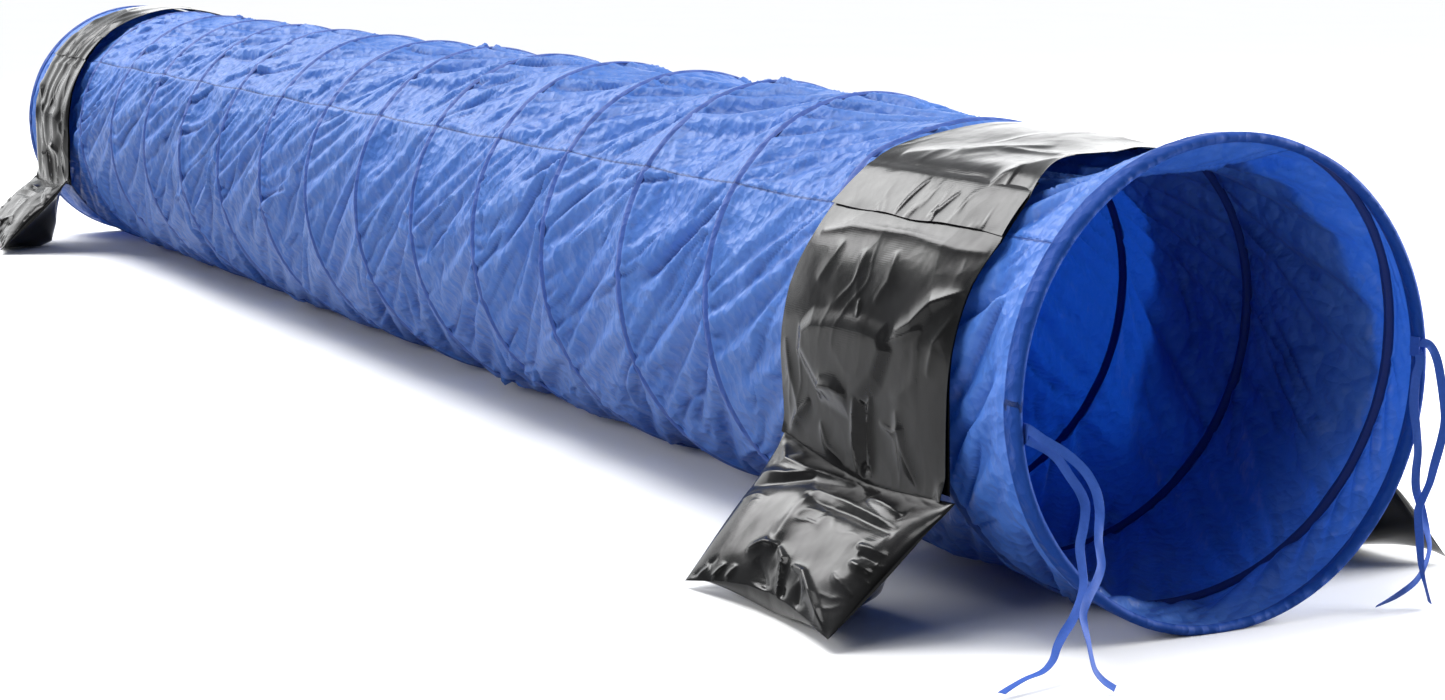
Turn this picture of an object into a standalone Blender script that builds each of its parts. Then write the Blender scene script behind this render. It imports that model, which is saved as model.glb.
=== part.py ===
"""Dog agility tunnel: a sprung fabric tube with two weighted saddles laid over it.

Metres, +Z up. The tunnel runs along X with its photographed (near) mouth at +X, and the
origin is on the floor under the middle of the tunnel. Left is -Y and right is +Y.
"""

import math

import bmesh
import bpy
from mathutils import Matrix, Vector

# Tunnel
LENGTH = 4.75  # mouth to mouth as laid out, a little short of the nominal 5 m
FACETS = 24  # points round every ring, the spring and the cloth share them
STEP_DEG = 360 / FACETS
FIRST_DEG = STEP_DEG / 2  # puts a flat facet underneath
SKIN_R = 0.3000  # outside of the cloth on a rib
SKIN_T = 0.0008
SAG = 0.008  # how far the cloth dips between two ribs
SEAM_GAP = 0.0005
TINY = 1e-6
SHARP_DEG = 35  # edges steeper than this are shaded sharp

# Spring wire inside the cloth
TURNS = 16.5
WIRE_R = 0.002
WIRE_PATH_R = 0.2961
WIRE_START_DEG = 67.5  # where the wire leaves each mouth, seen along -X
WIRE_END_T = 0.020  # from the mouth to the wire's end
PITCH = (LENGTH - 2 * WIRE_END_T) / TURNS
END_SHARE = 0.1  # the wire starts this share of a facet past its first corner
CASING_W = 0.018
CASING_T = 0.0006
GAP = 0.0004
TUBE_SIDES = 8
ASKEW = Vector((0.2, 0.3, 1.0))  # a direction that no short tube lies along

# Wire cap
CAP_R = 0.0027
CAP_BORE_R = 0.0023
CAP_LENGTH = 0.014
CAP_WALL = 0.003

# Hem and hoop at each mouth
HEM_R = 0.3012
HEM_T = 0.0008
HEM_W = 0.028
HEM_FOLD = 0.0106  # outside height of the folded hem
HEM_CORNER = 0.003
HEM_CORNER_INSIDE = 0.00332
HOOP_R = 0.0025
HOOP_SIDES = 6
HOOP_T = 0.0058  # hoop's centre, from the mouth
HOOP_PATH_R = HEM_R - 0.0053
SLEEVE_R = 0.0036
SLEEVE_BORE_R = 0.0029
SLEEVE_LENGTH = 0.030
SKIN_EDGE_T = 0.0105  # where the cloth stops inside the hem
ROW_STEP = 0.003  # least distance between two rows of the cloth

AXIS_Z = HEM_R * math.cos(math.radians(STEP_DEG / 2))  # the hems' lowest facets lie on z = 0

# Saddles: a tarpaulin band over the tunnel with a sand pocket at each end
SADDLES = {"near": LENGTH / 2 - 0.320, "far": LENGTH / 2 - 4.530}
SADDLE_W = 0.430
BAND_R = 0.3035
BAND_SIDE_COS = math.cos(math.radians(FIRST_DEG))  # the band hangs straight from this corner
SHEET_T = 0.0009
CREASE_Z = 0.170
CLOSURE_COLUMN = 8  # the closure lies on the facet from 127.5 to 142.5 degrees
PANEL_TOP = 0.20  # shares of that facet's length
TAPE_SPAN = (0.30, 0.78)
FLAP_SPAN = (0.03, 0.24, 1.02)
TAPE_T = 0.0008
TAPE_MARGIN = 0.010

# Sand bags, outlined in (y, z) for the right side
BAG_OUTLINE = [
    (0.3085, 0.1690),
    (0.3350, 0.1500),
    (0.3800, 0.1120),
    (0.4250, 0.0680),
    (0.4560, 0.0350),
    (0.4750, 0.0120),
    (0.4560, -0.0060),
    (0.3500, -0.0060),
    (0.3180, 0.0150),
    (0.3040, 0.0600),
    (0.3010, 0.1200),
    (0.3000, 0.1690),
]
BAG_NECK = (0.3040, 0.1690)
BAG_SEAM = (0.4750, 0.0120)
BAG_HALF_W = 0.203  # at the neck
BAG_TAPER = 0.038  # narrower by this at the outer seam
BAG_NOTCH = 0.10  # the outer seam draws in between its corners
BAG_STATIONS = [-1.0, -0.92, -0.75, -0.45, 0.0, 0.45, 0.75, 0.92, 1.0]
BAG_FULLNESS = [0.10, 0.42, 0.78, 0.97, 1.0, 0.97, 0.78, 0.42, 0.10]
BAG_WALL = 0.0015
SAND_GAP = 0.0014
SAND_TOP = [(0.3280, 0.136), (0.3420, 0.133)]  # the sand's top edge, in (y, z)
SAND_SPREAD = 0.90
SAND_TIP = 0.06  # the sand stops this share short of the outer seam
HOLLOW_SPREAD = 0.975
BAG_PIVOT = (0.3036, 0.1690)
MITRE_LIMIT = 0.5  # how far a sharp corner may run out when an outline is drawn in

# Tie ribbons at the near mouth
RIBBON_W = 0.011
RIBBON_T = 0.0008
RIBBON_STEP = 0.014
ROUTE_FINE = 12  # points of the smooth curve between two hand-placed ones
RIBBON_FACING = Vector((0.85, -0.45, 0.20))
TACK = (0.0165, 0.0016, 0.024)  # size along X, Y and Z
TACK_OUT = 0.0005  # how far the tack stands out of the mouth
TACK_Y = 0.2852
LEFT_TACK_Z = 0.267
RIGHT_TACK_Z = 0.326
RIBBON_ROUTES = {
    "left_tie_a": [
        (2.3760, -0.2852, 0.2605),
        (2.387, -0.272, 0.253),
        (2.394, -0.257, 0.240),
        (2.401, -0.244, 0.219),
        (2.408, -0.234, 0.201),
        (2.413, -0.230, 0.184),
        (2.421, -0.238, 0.162),
        (2.428, -0.247, 0.143),
        (2.436, -0.249, 0.120),
        (2.441, -0.250, 0.104),
        (2.448, -0.259, 0.086),
        (2.455, -0.274, 0.067),
        (2.461, -0.289, 0.055),
        (2.466, -0.301, 0.042),
        (2.471, -0.310, 0.029),
        (2.477, -0.327, 0.020),
        (2.484, -0.354, 0.017),
        (2.489, -0.373, 0.013),
        (2.495, -0.393, 0.008),
    ],
    "left_tie_b": [
        (2.3760, -0.2852, 0.2735),
        (2.390, -0.273, 0.262),
        (2.400, -0.257, 0.251),
        (2.410, -0.243, 0.238),
        (2.419, -0.232, 0.223),
        (2.428, -0.226, 0.204),
        (2.437, -0.227, 0.184),
        (2.446, -0.234, 0.167),
        (2.453, -0.239, 0.154),
        (2.460, -0.241, 0.141),
        (2.467, -0.244, 0.129),
        (2.474, -0.254, 0.116),
        (2.481, -0.267, 0.105),
        (2.488, -0.278, 0.095),
        (2.494, -0.286, 0.084),
        (2.501, -0.288, 0.071),
        (2.508, -0.288, 0.057),
        (2.516, -0.289, 0.041),
        (2.523, -0.288, 0.027),
        (2.530, -0.281, 0.016),
        (2.537, -0.271, 0.008),
    ],
    "right_tie_a": [
        (2.3760, 0.2852, 0.3325),
        (2.386, 0.292, 0.330),
        (2.390, 0.301, 0.312),
        (2.392, 0.309, 0.277),
        (2.393, 0.315, 0.239),
        (2.394, 0.309, 0.209),
        (2.395, 0.299, 0.181),
        (2.396, 0.292, 0.160),
        (2.397, 0.282, 0.143),
        (2.398, 0.274, 0.129),
        (2.399, 0.274, 0.112),
        (2.399, 0.277, 0.091),
        (2.399, 0.279, 0.069),
        (2.399, 0.283, 0.047),
        (2.399, 0.290, 0.027),
        (2.399, 0.297, 0.008),
    ],
    "right_tie_b": [
        (2.3760, 0.2852, 0.3195),
        (2.381, 0.282, 0.307),
        (2.382, 0.276, 0.290),
        (2.382, 0.274, 0.258),
        (2.382, 0.280, 0.225),
        (2.382, 0.284, 0.197),
        (2.382, 0.282, 0.171),
        (2.382, 0.283, 0.151),
        (2.383, 0.289, 0.133),
        (2.384, 0.296, 0.112),
        (2.384, 0.303, 0.092),
        (2.384, 0.307, 0.072),
        (2.385, 0.300, 0.052),
        (2.385, 0.287, 0.034),
        (2.386, 0.259, 0.020),
        (2.386, 0.226, 0.009),
    ],
}

COLOURS = {
    "tunnel_cloth": ((0.10, 0.19, 0.62), 0.55, 0.0),
    "casing_cloth": ((0.02, 0.04, 0.22), 0.60, 0.0),
    "ribbon": ((0.08, 0.15, 0.50), 0.60, 0.0),
    "spring_steel": ((0.42, 0.42, 0.44), 0.35, 1.0),
    "cap_plastic": ((0.05, 0.05, 0.06), 0.50, 0.0),
    "tarpaulin": ((0.015, 0.015, 0.017), 0.18, 0.0),
    "hook_tape": ((0.02, 0.02, 0.02), 0.85, 0.0),
    "sand": ((0.50, 0.38, 0.24), 0.95, 0.0),
}


def clear_scene():
    for obj in list(bpy.data.objects):
        bpy.data.objects.remove(obj, do_unlink=True)


def make_materials():
    made = {}
    for name, (colour, roughness, metallic) in COLOURS.items():
        material = bpy.data.materials.new(name)
        material.use_nodes = True
        shader = material.node_tree.nodes["Principled BSDF"]
        shader.inputs["Base Color"].default_value = (*colour, 1.0)
        shader.inputs["Roughness"].default_value = roughness
        shader.inputs["Metallic"].default_value = metallic
        made[name] = material
    return made


def pivot(name, place):
    """An empty on a joint's axis, which carries the pieces that move about it."""
    empty = bpy.data.objects.new(name, None)
    empty.empty_display_size = 0.05
    empty.location = place
    bpy.context.scene.collection.objects.link(empty)
    return empty


def add(name, bm, material, carrier=None, smooth=True):
    """Make an object from a bmesh given in world coordinates, on its carrier if it has one."""
    bmesh.ops.recalc_face_normals(bm, faces=bm.faces)
    mesh = bpy.data.meshes.new(name)
    bm.to_mesh(mesh)
    bm.free()
    mesh.materials.append(MATERIALS[material])
    obj = bpy.data.objects.new(name, mesh)
    bpy.context.scene.collection.objects.link(obj)
    if carrier:
        mesh.transform(Matrix.Translation(-carrier_place(carrier)))
        obj.parent = carrier
    if smooth:
        mesh.shade_smooth()
        mesh.set_sharp_from_angle(angle=math.radians(SHARP_DEG))
    return obj


def carrier_place(carrier):
    place = carrier.location.copy()
    while carrier.parent:
        carrier = carrier.parent
        place += carrier.location
    return place


def loft(rings, closed_ring=True, capped=True):
    """Skin a row of point rings with quads, and fill both ends."""
    bm = bmesh.new()
    rows = [[bm.verts.new(p) for p in ring] for ring in rings]
    count = len(rings[0])
    last = count if closed_ring else count - 1
    for a, b in zip(rows, rows[1:]):
        for i in range(last):
            j = (i + 1) % count
            bm.faces.new((a[i], a[j], b[j], b[i]))
    if capped:
        bm.faces.new(list(reversed(rows[0])))
        bm.faces.new(rows[-1])
    return bm


def on_tunnel(t, degrees, radius):
    """The point at t metres in from the near mouth, at an angle up from +Y."""
    a = math.radians(degrees)
    return Vector((LENGTH / 2 - t, radius * math.cos(a), AXIS_Z + radius * math.sin(a)))


def mouth_side(end, t):
    """t metres in from the near or the far mouth, as t from the near mouth."""
    return t if end == "near" else LENGTH - t


def spun_ring(name, section, material, carrier=None):
    """Spin a closed section of (t, radius) points round the tunnel's axis."""
    bm = bmesh.new()
    verts = [bm.verts.new(on_tunnel(t, FIRST_DEG, r)) for t, r in section]
    edges = [bm.edges.new((a, b)) for a, b in zip(verts, verts[1:] + verts[:1])]
    bmesh.ops.spin(
        bm,
        geom=verts + edges,
        cent=(0, 0, AXIS_Z),
        axis=(1, 0, 0),
        angle=math.tau,
        steps=FACETS,
        use_merge=True,
    )
    return add(name, bm, material, carrier)


def make_mouth(end, carrier=None):
    """The hem folded over its steel hoop, and the sleeve that joins the hoop's ends."""
    inner = HEM_R - HEM_FOLD
    hem = [
        (HEM_W, HEM_R),
        (HEM_CORNER, HEM_R),
        (0, HEM_R - HEM_CORNER),
        (0, inner + HEM_CORNER),
        (HEM_CORNER, inner),
        (HEM_W, inner),
        (HEM_W, inner + HEM_T),
        (HEM_CORNER_INSIDE, inner + HEM_T),
        (HEM_T, inner + HEM_CORNER_INSIDE),
        (HEM_T, HEM_R - HEM_CORNER_INSIDE),
        (HEM_CORNER_INSIDE, HEM_R - HEM_T),
        (HEM_W, HEM_R - HEM_T),
    ]
    spun_ring(f"{end}_hem", [(mouth_side(end, t), r) for t, r in hem], "tunnel_cloth", carrier)
    turn = math.tau / HOOP_SIDES
    hoop = [
        (
            mouth_side(end, HOOP_T + HOOP_R * math.cos(i * turn)),
            HOOP_PATH_R + HOOP_R * math.sin(i * turn),
        )
        for i in range(HOOP_SIDES)
    ]
    spun_ring(f"{end}_hoop", hoop, "spring_steel", carrier)
    facet_r = HOOP_PATH_R * math.cos(math.radians(STEP_DEG / 2))
    middle = on_tunnel(mouth_side(end, HOOP_T), 0, facet_r)
    half = Vector((0, 0, SLEEVE_LENGTH / 2))
    make_tube(
        f"{end}_hoop_sleeve",
        middle - half,
        middle + half,
        SLEEVE_R,
        SLEEVE_BORE_R,
        "spring_steel",
        carrier,
    )


def circle(centre, along, radius):
    """Points round a centre, square to a direction."""
    along = along.normalized()
    across = along.cross(ASKEW).normalized()
    up = along.cross(across)
    turn = math.tau / TUBE_SIDES
    return [
        centre + radius * (math.cos(i * turn) * across + math.sin(i * turn) * up)
        for i in range(TUBE_SIDES)
    ]


def make_tube(name, start, end, radius, bore, material, carrier=None, wall=None):
    """A short straight tube. With a wall it is a cap, closed at its start."""
    along = end - start
    bore_start = start + along.normalized() * wall if wall else start
    rings = [
        circle(bore_start, along, bore),
        circle(end, along, bore),
        circle(end, along, radius),
        circle(start, along, radius),
    ]
    if wall:
        bm = loft(rings)
    else:
        bm = loft(rings + [rings[0]], capped=False)
        bmesh.ops.remove_doubles(bm, verts=bm.verts, dist=TINY)
    return add(name, bm, material, carrier)


def on_rib(turns, radius):
    """A point of the rib, counted in turns from the near mouth."""
    return on_tunnel(WIRE_END_T + PITCH * turns, WIRE_START_DEG - 360 * turns, radius)


def rib_turns(first, last):
    """The turns at which a rib piece has its corners, from one facet count to another."""
    return [i / FACETS for i in range(first, last + 1)]


def wire_points():
    corners = rib_turns(0, round(TURNS * FACETS))
    points = [on_rib(s, WIRE_PATH_R) for s in corners]
    points[0] = points[0].lerp(points[1], END_SHARE)
    points[-1] = points[-1].lerp(points[-2], END_SHARE)
    return points


def least_gap(points, radius, skip):
    """The least clear distance between turns of a tube, from its own points."""
    best = math.inf
    for i, p in enumerate(points):
        for q in points[i + skip :]:
            best = min(best, (p - q).length)
            if (q - p).x < -2 * PITCH:
                break
    return best - 2 * radius


def make_wire(far_carrier):
    points = wire_points()
    curve = bpy.data.curves.new("helix_wire", "CURVE")
    curve.dimensions = "3D"
    spline = curve.splines.new("POLY")
    spline.points.add(len(points) - 1)
    for point, place in zip(spline.points, points):
        point.co = (*place, 1.0)
    curve.bevel_depth = WIRE_R
    curve.bevel_resolution = 1
    curve.use_fill_caps = True
    curve.materials.append(MATERIALS["spring_steel"])
    wire = bpy.data.objects.new("helix_wire", curve)
    bpy.context.scene.collection.objects.link(wire)
    print(f"helix_wire least gap to itself {least_gap(points, WIRE_R, FACETS // 2) * 1000:.1f} mm")
    ends = {"near": (points[0], points[1], None), "far": (points[-1], points[-2], far_carrier)}
    for end, (tip, onward, carrier) in ends.items():
        along = (onward - tip).normalized()
        start = tip - along * (CAP_WALL + GAP)
        make_tube(
            f"{end}_wire_cap",
            start,
            start + along * CAP_LENGTH,
            CAP_R,
            CAP_BORE_R,
            "cap_plastic",
            carrier,
            wall=CAP_WALL,
        )


def make_casing():
    """The tape that holds the wire against the cloth, sewn along both its edges."""
    outer = WIRE_PATH_R - WIRE_R - GAP
    inner = outer - CASING_T
    half = Vector((CASING_W / 2, 0, 0))
    rings = []
    for s in rib_turns(1, round(TURNS * FACETS) - 1):
        high = on_rib(s, outer)
        low = on_rib(s, inner)
        rings.append([high + half, high - half, low - half, low + half])
    add("casing_tape", loft(rings), "casing_cloth")


def skin_row(phase, u):
    """Where a row of the cloth crosses a column: metres from the near mouth, and the radius."""
    raw = WIRE_END_T + PITCH * (phase + u)
    rows = TURNS + 0.5
    low = SKIN_EDGE_T + ROW_STEP * (u + 1) * 2
    high = LENGTH - SKIN_EDGE_T - ROW_STEP * (rows - u) * 2
    t = max(raw, low) if u < 0 else raw
    if raw > LENGTH - WIRE_END_T + TINY:
        t = high
    on_wire = u == int(u) and -TINY <= phase + u <= TURNS + TINY
    clear = min(t - SKIN_EDGE_T, LENGTH - SKIN_EDGE_T - t)
    sag = 0 if on_wire else SAG * min(1, max(0, 2 * clear / PITCH - 0.1))
    return t, SKIN_R - sag


def make_panel(name, first, last):
    """A length of cloth from one seam to the next, in columns counted down from the wire's start."""
    rings = []
    rows = [i / 2 for i in range(-2, round(2 * TURNS) + 2)]
    for column in range(first, last + 1):
        phase = column / FACETS
        degrees = WIRE_START_DEG - 360 * phase
        if column == first:
            degrees -= math.degrees(SEAM_GAP / 2 / SKIN_R)
        if column == last:
            degrees += math.degrees(SEAM_GAP / 2 / SKIN_R)
        crossings = [skin_row(phase, u) for u in rows]
        outside = [on_tunnel(t, degrees, r) for t, r in crossings]
        inside = [on_tunnel(t, degrees, r - SKIN_T) for t, r in reversed(crossings)]
        rings.append(outside + inside)
    bm = loft(rings, capped=False)
    for ring in (bm.verts[: len(rings[0])], bm.verts[-len(rings[0]) :]):
        half = len(ring) // 2
        for i in range(half - 1):
            bm.faces.new((ring[i], ring[i + 1], ring[-2 - i], ring[-1 - i]))
    return add(name, bm, "tunnel_cloth")


def smooth_route(points, step):
    """Even steps along a smooth curve through hand-placed points."""
    ends = [2 * points[0] - points[1], *points, 2 * points[-1] - points[-2]]
    fine = []
    for a, b, c, d in zip(ends, ends[1:], ends[2:], ends[3:]):
        for i in range(ROUTE_FINE):
            s = i / ROUTE_FINE
            fine.append(
                0.5
                * (
                    2 * b
                    + (c - a) * s
                    + (2 * a - 5 * b + 4 * c - d) * s * s
                    + (3 * b - 3 * c + d - a) * s**3
                )
            )
    fine.append(points[-1])
    length = sum((b - a).length for a, b in zip(fine, fine[1:]))
    count = max(2, round(length / step))
    out, want, gone = [fine[0]], length / count, 0.0
    for a, b in zip(fine, fine[1:]):
        part = (b - a).length
        while len(out) < count and gone + part >= want * len(out):
            out.append(a.lerp(b, (want * len(out) - gone) / part))
        gone += part
    return out + [fine[-1]]


def make_ribbon(name, route):
    """A flat ribbon swept along its route, with its face kept towards the mouth's front."""
    line = smooth_route([Vector(p) for p in route], RIBBON_STEP)
    rings = []
    for i, p in enumerate(line):
        along = (line[min(i + 1, len(line) - 1)] - line[max(i - 1, 0)]).normalized()
        if i == 0:
            along = Vector((1, 0, 0))  # square to the tack's end
        wide = along.cross(RIBBON_FACING).normalized()
        thick = along.cross(wide).normalized()
        w, h = wide * RIBBON_W / 2, thick * RIBBON_T / 2
        rings.append([p + w + h, p - w + h, p - w - h, p + w - h])
    add(name, loft(rings), "ribbon")


def make_box(name, low, high, material, carrier=None):
    bm = bmesh.new()
    bmesh.ops.create_cube(bm, size=1.0)
    size = Vector(high) - Vector(low)
    bmesh.ops.scale(bm, vec=size, verts=bm.verts)
    bmesh.ops.translate(bm, vec=(Vector(high) + Vector(low)) / 2, verts=bm.verts)
    add(name, bm, material, carrier, smooth=False)


def make_ties():
    for side, sign, z in (("left", -1, LEFT_TACK_Z), ("right", 1, RIGHT_TACK_Z)):
        x1 = LENGTH / 2 + TACK_OUT
        ys = sorted((sign * (TACK_Y - TACK[1] / 2), sign * (TACK_Y + TACK[1] / 2)))
        make_box(
            f"{side}_tie_tack",
            (x1 - TACK[0], ys[0], z - TACK[2] / 2),
            (x1, ys[1], z + TACK[2] / 2),
            "ribbon",
        )
    for name, route in RIBBON_ROUTES.items():
        make_ribbon(name, route)


def column_point(column, radius):
    """A corner of the faceted arch in (y, z), the column counted up from the right side."""
    a = math.radians(FIRST_DEG + STEP_DEG * column)
    return Vector((radius * math.cos(a), AXIS_Z + radius * math.sin(a)))


def facet_point(share, radius):
    """A point along the closure's facet on the left side, in (y, z)."""
    a = column_point(CLOSURE_COLUMN, radius)
    b = column_point(CLOSURE_COLUMN + 1, radius)
    return a.lerp(b, share)


def make_sheet(name, inner, outer, x0, x1, carrier, material="tarpaulin", mirror=False):
    """A strip of sheet across the tunnel, between two (y, z) lines and two x values."""
    sign = -1 if mirror else 1
    rings = []
    for a, b in zip(inner, outer):
        a = (sign * a[0], a[1])
        b = (sign * b[0], b[1])
        rings.append([(x0, *a), (x1, *a), (x1, *b), (x0, *b)])
    return add(name, loft(rings), material, carrier)


def make_saddle(end, centre):
    """A band over the tunnel, and on each side a pocket sheet, its closure and its sand bag."""
    x0, x1 = centre - SADDLE_W / 2, centre + SADDLE_W / 2
    body = pivot(f"{end}_saddle_lift", (centre, 0, 0))

    def arch(radius):
        side = BAND_SIDE_COS * radius
        middle = [column_point(k, radius) for k in range(FACETS // 2)]
        return [Vector((side, CREASE_Z)), *middle, Vector((-side, CREASE_Z))]

    make_sheet(f"{end}_band", arch(BAND_R), arch(BAND_R + SHEET_T), x0, x1, body)
    for side, mirror in (("left", False), ("right", True)):
        make_pocket(f"{end}_{side}", x0, x1, body, mirror)
        make_bag(f"{end}_{side}", centre, body, -1 if side == "left" else 1)


def make_pocket(prefix, x0, x1, body, mirror):
    """The pocket's outer sheet, and the flap that closes it with hook and loop tape."""
    sheet_r = BAND_R + SHEET_T + GAP

    def drop(radius):
        side = -BAND_SIDE_COS * radius
        columns = range(CLOSURE_COLUMN + 1, FACETS // 2)
        down = [column_point(k, radius) for k in columns]
        return [facet_point(PANEL_TOP, radius), *down, Vector((side, CREASE_Z))]

    make_sheet(
        f"{prefix}_pocket", drop(sheet_r), drop(sheet_r + SHEET_T), x0, x1, body, mirror=mirror
    )
    loop_r = sheet_r + SHEET_T + GAP
    hook_r = loop_r + TAPE_T + GAP
    flap_r = hook_r + TAPE_T + GAP

    def tape(radius):
        return [facet_point(share, radius) for share in TAPE_SPAN]

    make_sheet(
        f"{prefix}_loop_tape",
        tape(loop_r),
        tape(loop_r + TAPE_T),
        x0 + TAPE_MARGIN,
        x1 - TAPE_MARGIN,
        body,
        "hook_tape",
        mirror,
    )
    start, bend, free = FLAP_SPAN
    root_r = BAND_R + SHEET_T + GAP
    root = facet_point(start, root_r)
    sign = -1 if mirror else 1
    hinge = pivot(f"{prefix}_flap_hinge", (0, sign * root.x, root.y))
    hinge.parent = body
    hinge.location -= body.location
    lower = [root, facet_point(bend, flap_r), facet_point(free, flap_r)]
    upper = [
        facet_point(start, root_r + SHEET_T),
        facet_point(bend, flap_r + SHEET_T),
        facet_point(free, flap_r + SHEET_T),
    ]
    make_sheet(f"{prefix}_flap", lower, upper, x0, x1, hinge, mirror=mirror)
    make_sheet(
        f"{prefix}_hook_tape",
        tape(hook_r),
        tape(hook_r + TAPE_T),
        x0 + TAPE_MARGIN,
        x1 - TAPE_MARGIN,
        hinge,
        "hook_tape",
        mirror,
    )


def inset(outline, distance):
    """Move every edge of a closed outline inwards by a distance."""
    count = len(outline)
    area = sum(
        outline[i][0] * outline[(i + 1) % count][1] - outline[(i + 1) % count][0] * outline[i][1]
        for i in range(count)
    )
    turn = 1 if area > 0 else -1
    moved = []
    for i in range(count):
        here = Vector(outline[i])
        back = (here - Vector(outline[i - 1])).normalized()
        onward = (Vector(outline[(i + 1) % count]) - here).normalized()
        n1 = Vector((-back.y, back.x)) * turn
        n2 = Vector((-onward.y, onward.x)) * turn
        middle = (n1 + n2).normalized()
        moved.append(here + middle * distance / max(MITRE_LIMIT, middle.dot(n1)))
    return moved


def bag_ring(outline, station, fullness, centre, sign, floor, spread):
    """One cross-section of the bag, drawn in towards its middle line near the ends."""
    neck, seam = Vector(BAG_NECK), Vector(BAG_SEAM)
    line = seam - neck
    reach = 1 - BAG_NOTCH * (1 - (station * spread) ** 2)
    ring = []
    for p in outline:
        share = min(1, (Vector(p) - neck).dot(line) / line.length_squared)
        middle = neck + line * share
        place = middle + (Vector(p) - middle) * fullness
        place.x = BAG_NECK[0] + (place.x - BAG_NECK[0]) * (1 - (1 - reach) * share)
        x = centre + station * spread * (BAG_HALF_W - BAG_TAPER * share)
        ring.append(Vector((x, sign * place.x, min(BAG_NECK[1], max(floor, place.y)))))
    return ring


def bag_rings(outline, centre, sign, floor, spread=1.0):
    return [
        bag_ring(outline, station, fullness * spread, centre, sign, floor, spread)
        for station, fullness in zip(BAG_STATIONS, BAG_FULLNESS)
    ]


def make_bag(prefix, centre, body, sign):
    """A pillow-shaped bag, open at its neck, and the sand inside it. It swings on the crease."""
    hinge = pivot(f"{prefix}_bag_hinge", (0, sign * BAG_PIVOT[0], BAG_PIVOT[1]))
    hinge.parent = body
    hinge.location -= body.location
    hollow = inset(BAG_OUTLINE, BAG_WALL)
    hollow[0] = Vector((BAG_OUTLINE[0][0] - BAG_WALL, BAG_NECK[1]))
    hollow[-1] = Vector((BAG_OUTLINE[-1][0] + BAG_WALL, BAG_NECK[1]))
    bm = bmesh.new()
    loops = []
    for outline, floor, spread in ((BAG_OUTLINE, 0.0, 1.0), (hollow, BAG_WALL, HOLLOW_SPREAD)):
        rings = bag_rings(outline, centre, sign, floor, spread)
        rows = [[bm.verts.new(p) for p in ring] for ring in rings]
        for a, b in zip(rows, rows[1:]):
            for i in range(len(a) - 1):
                bm.faces.new((a[i], a[i + 1], b[i + 1], b[i]))
        bm.faces.new(list(reversed(rows[0])))
        bm.faces.new(rows[-1])
        loops.append([row[0] for row in rows] + [row[-1] for row in reversed(rows)])
    outer, inner = loops
    count = len(outer)
    for i in range(count):
        j = (i + 1) % count
        bm.faces.new((outer[i], outer[j], inner[j], inner[i]))
    add(f"{prefix}_bag", bm, "tarpaulin", hinge)
    sand = inset(BAG_OUTLINE, BAG_WALL + SAND_GAP)
    for p in sand:
        p.y = min(p.y, SAND_TOP[0][1])
    sand[:2] = [Vector(p) for p in SAND_TOP]
    tip = BAG_OUTLINE.index(BAG_SEAM)
    sand[tip] = sand[tip].lerp(Vector(BAG_NECK), SAND_TIP)
    rings = bag_rings(sand, centre, sign, BAG_WALL + SAND_GAP, SAND_SPREAD)
    add(f"{prefix}_sand", loft(rings), "sand", hinge)


clear_scene()
MATERIALS = make_materials()
far_end = pivot("far_end_slide", (-LENGTH / 2, 0, AXIS_Z))
make_mouth("near")
make_mouth("far", far_end)
make_panel("main_panel", 0, 19)
make_panel("top_panel", 19, 24)
make_wire(far_end)
make_casing()
make_ties()
for saddle_end, saddle_x in SADDLES.items():
    make_saddle(saddle_end, saddle_x)
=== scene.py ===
"""Looks of the dog agility tunnel: crinkled cloth on a sprung wire, glossy saddles, ribbons and studio.

Metres, +Z up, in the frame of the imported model: the near mouth is at +X, left is -Y. A place on the
tunnel is given as t, metres in from the near mouth, and an angle in degrees up from +Y.
"""

import math

import bmesh
import bpy
import numpy as np
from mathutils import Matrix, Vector


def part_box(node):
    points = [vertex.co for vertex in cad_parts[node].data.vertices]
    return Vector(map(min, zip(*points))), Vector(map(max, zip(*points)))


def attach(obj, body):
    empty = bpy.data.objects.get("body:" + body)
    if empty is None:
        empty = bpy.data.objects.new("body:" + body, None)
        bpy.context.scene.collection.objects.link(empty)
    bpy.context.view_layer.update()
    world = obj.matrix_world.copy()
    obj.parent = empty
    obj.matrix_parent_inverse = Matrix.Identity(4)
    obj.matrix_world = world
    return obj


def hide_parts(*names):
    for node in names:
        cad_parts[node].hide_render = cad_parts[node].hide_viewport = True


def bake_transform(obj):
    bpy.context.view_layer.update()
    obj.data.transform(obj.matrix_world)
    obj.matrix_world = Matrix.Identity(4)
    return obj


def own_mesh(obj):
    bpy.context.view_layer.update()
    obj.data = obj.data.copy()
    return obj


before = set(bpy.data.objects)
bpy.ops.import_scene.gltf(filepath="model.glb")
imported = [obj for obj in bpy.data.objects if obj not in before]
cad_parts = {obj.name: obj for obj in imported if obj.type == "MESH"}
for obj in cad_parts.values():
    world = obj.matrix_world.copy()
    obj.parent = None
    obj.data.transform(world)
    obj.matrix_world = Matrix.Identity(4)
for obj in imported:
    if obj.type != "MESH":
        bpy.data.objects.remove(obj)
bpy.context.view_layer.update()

# The tunnel, from the frame
HEM_LOW, HEM_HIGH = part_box("near_hem")
MOUTH_X = HEM_HIGH.x
LENGTH = MOUTH_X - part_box("far_hem")[0].x
AXIS_Z = (HEM_LOW.z + HEM_HIGH.z) / 2

# Cloth and ribs
SKIN_R = 0.2990
TURNS = 16.5
RIB_START_DEG = 67.5
RIB_START_T = 0.020
PITCH = (LENGTH - 2 * RIB_START_T) / TURNS
MAIN_SHARE = 19 / 24  # of the way round, down from the start of the rib
SKIN_EDGE_T = 0.012
HEM_END_T = 0.028
FLOOR_GAP = 0.0004
RIB_RIDGE = 0.0016
RIB_RIDGE_W = 0.0050
STITCH_OFF = 0.0088  # stitch lines beside a rib
BAND_PRESS_R = 0.3012  # the saddles hold the cloth inside this radius

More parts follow.
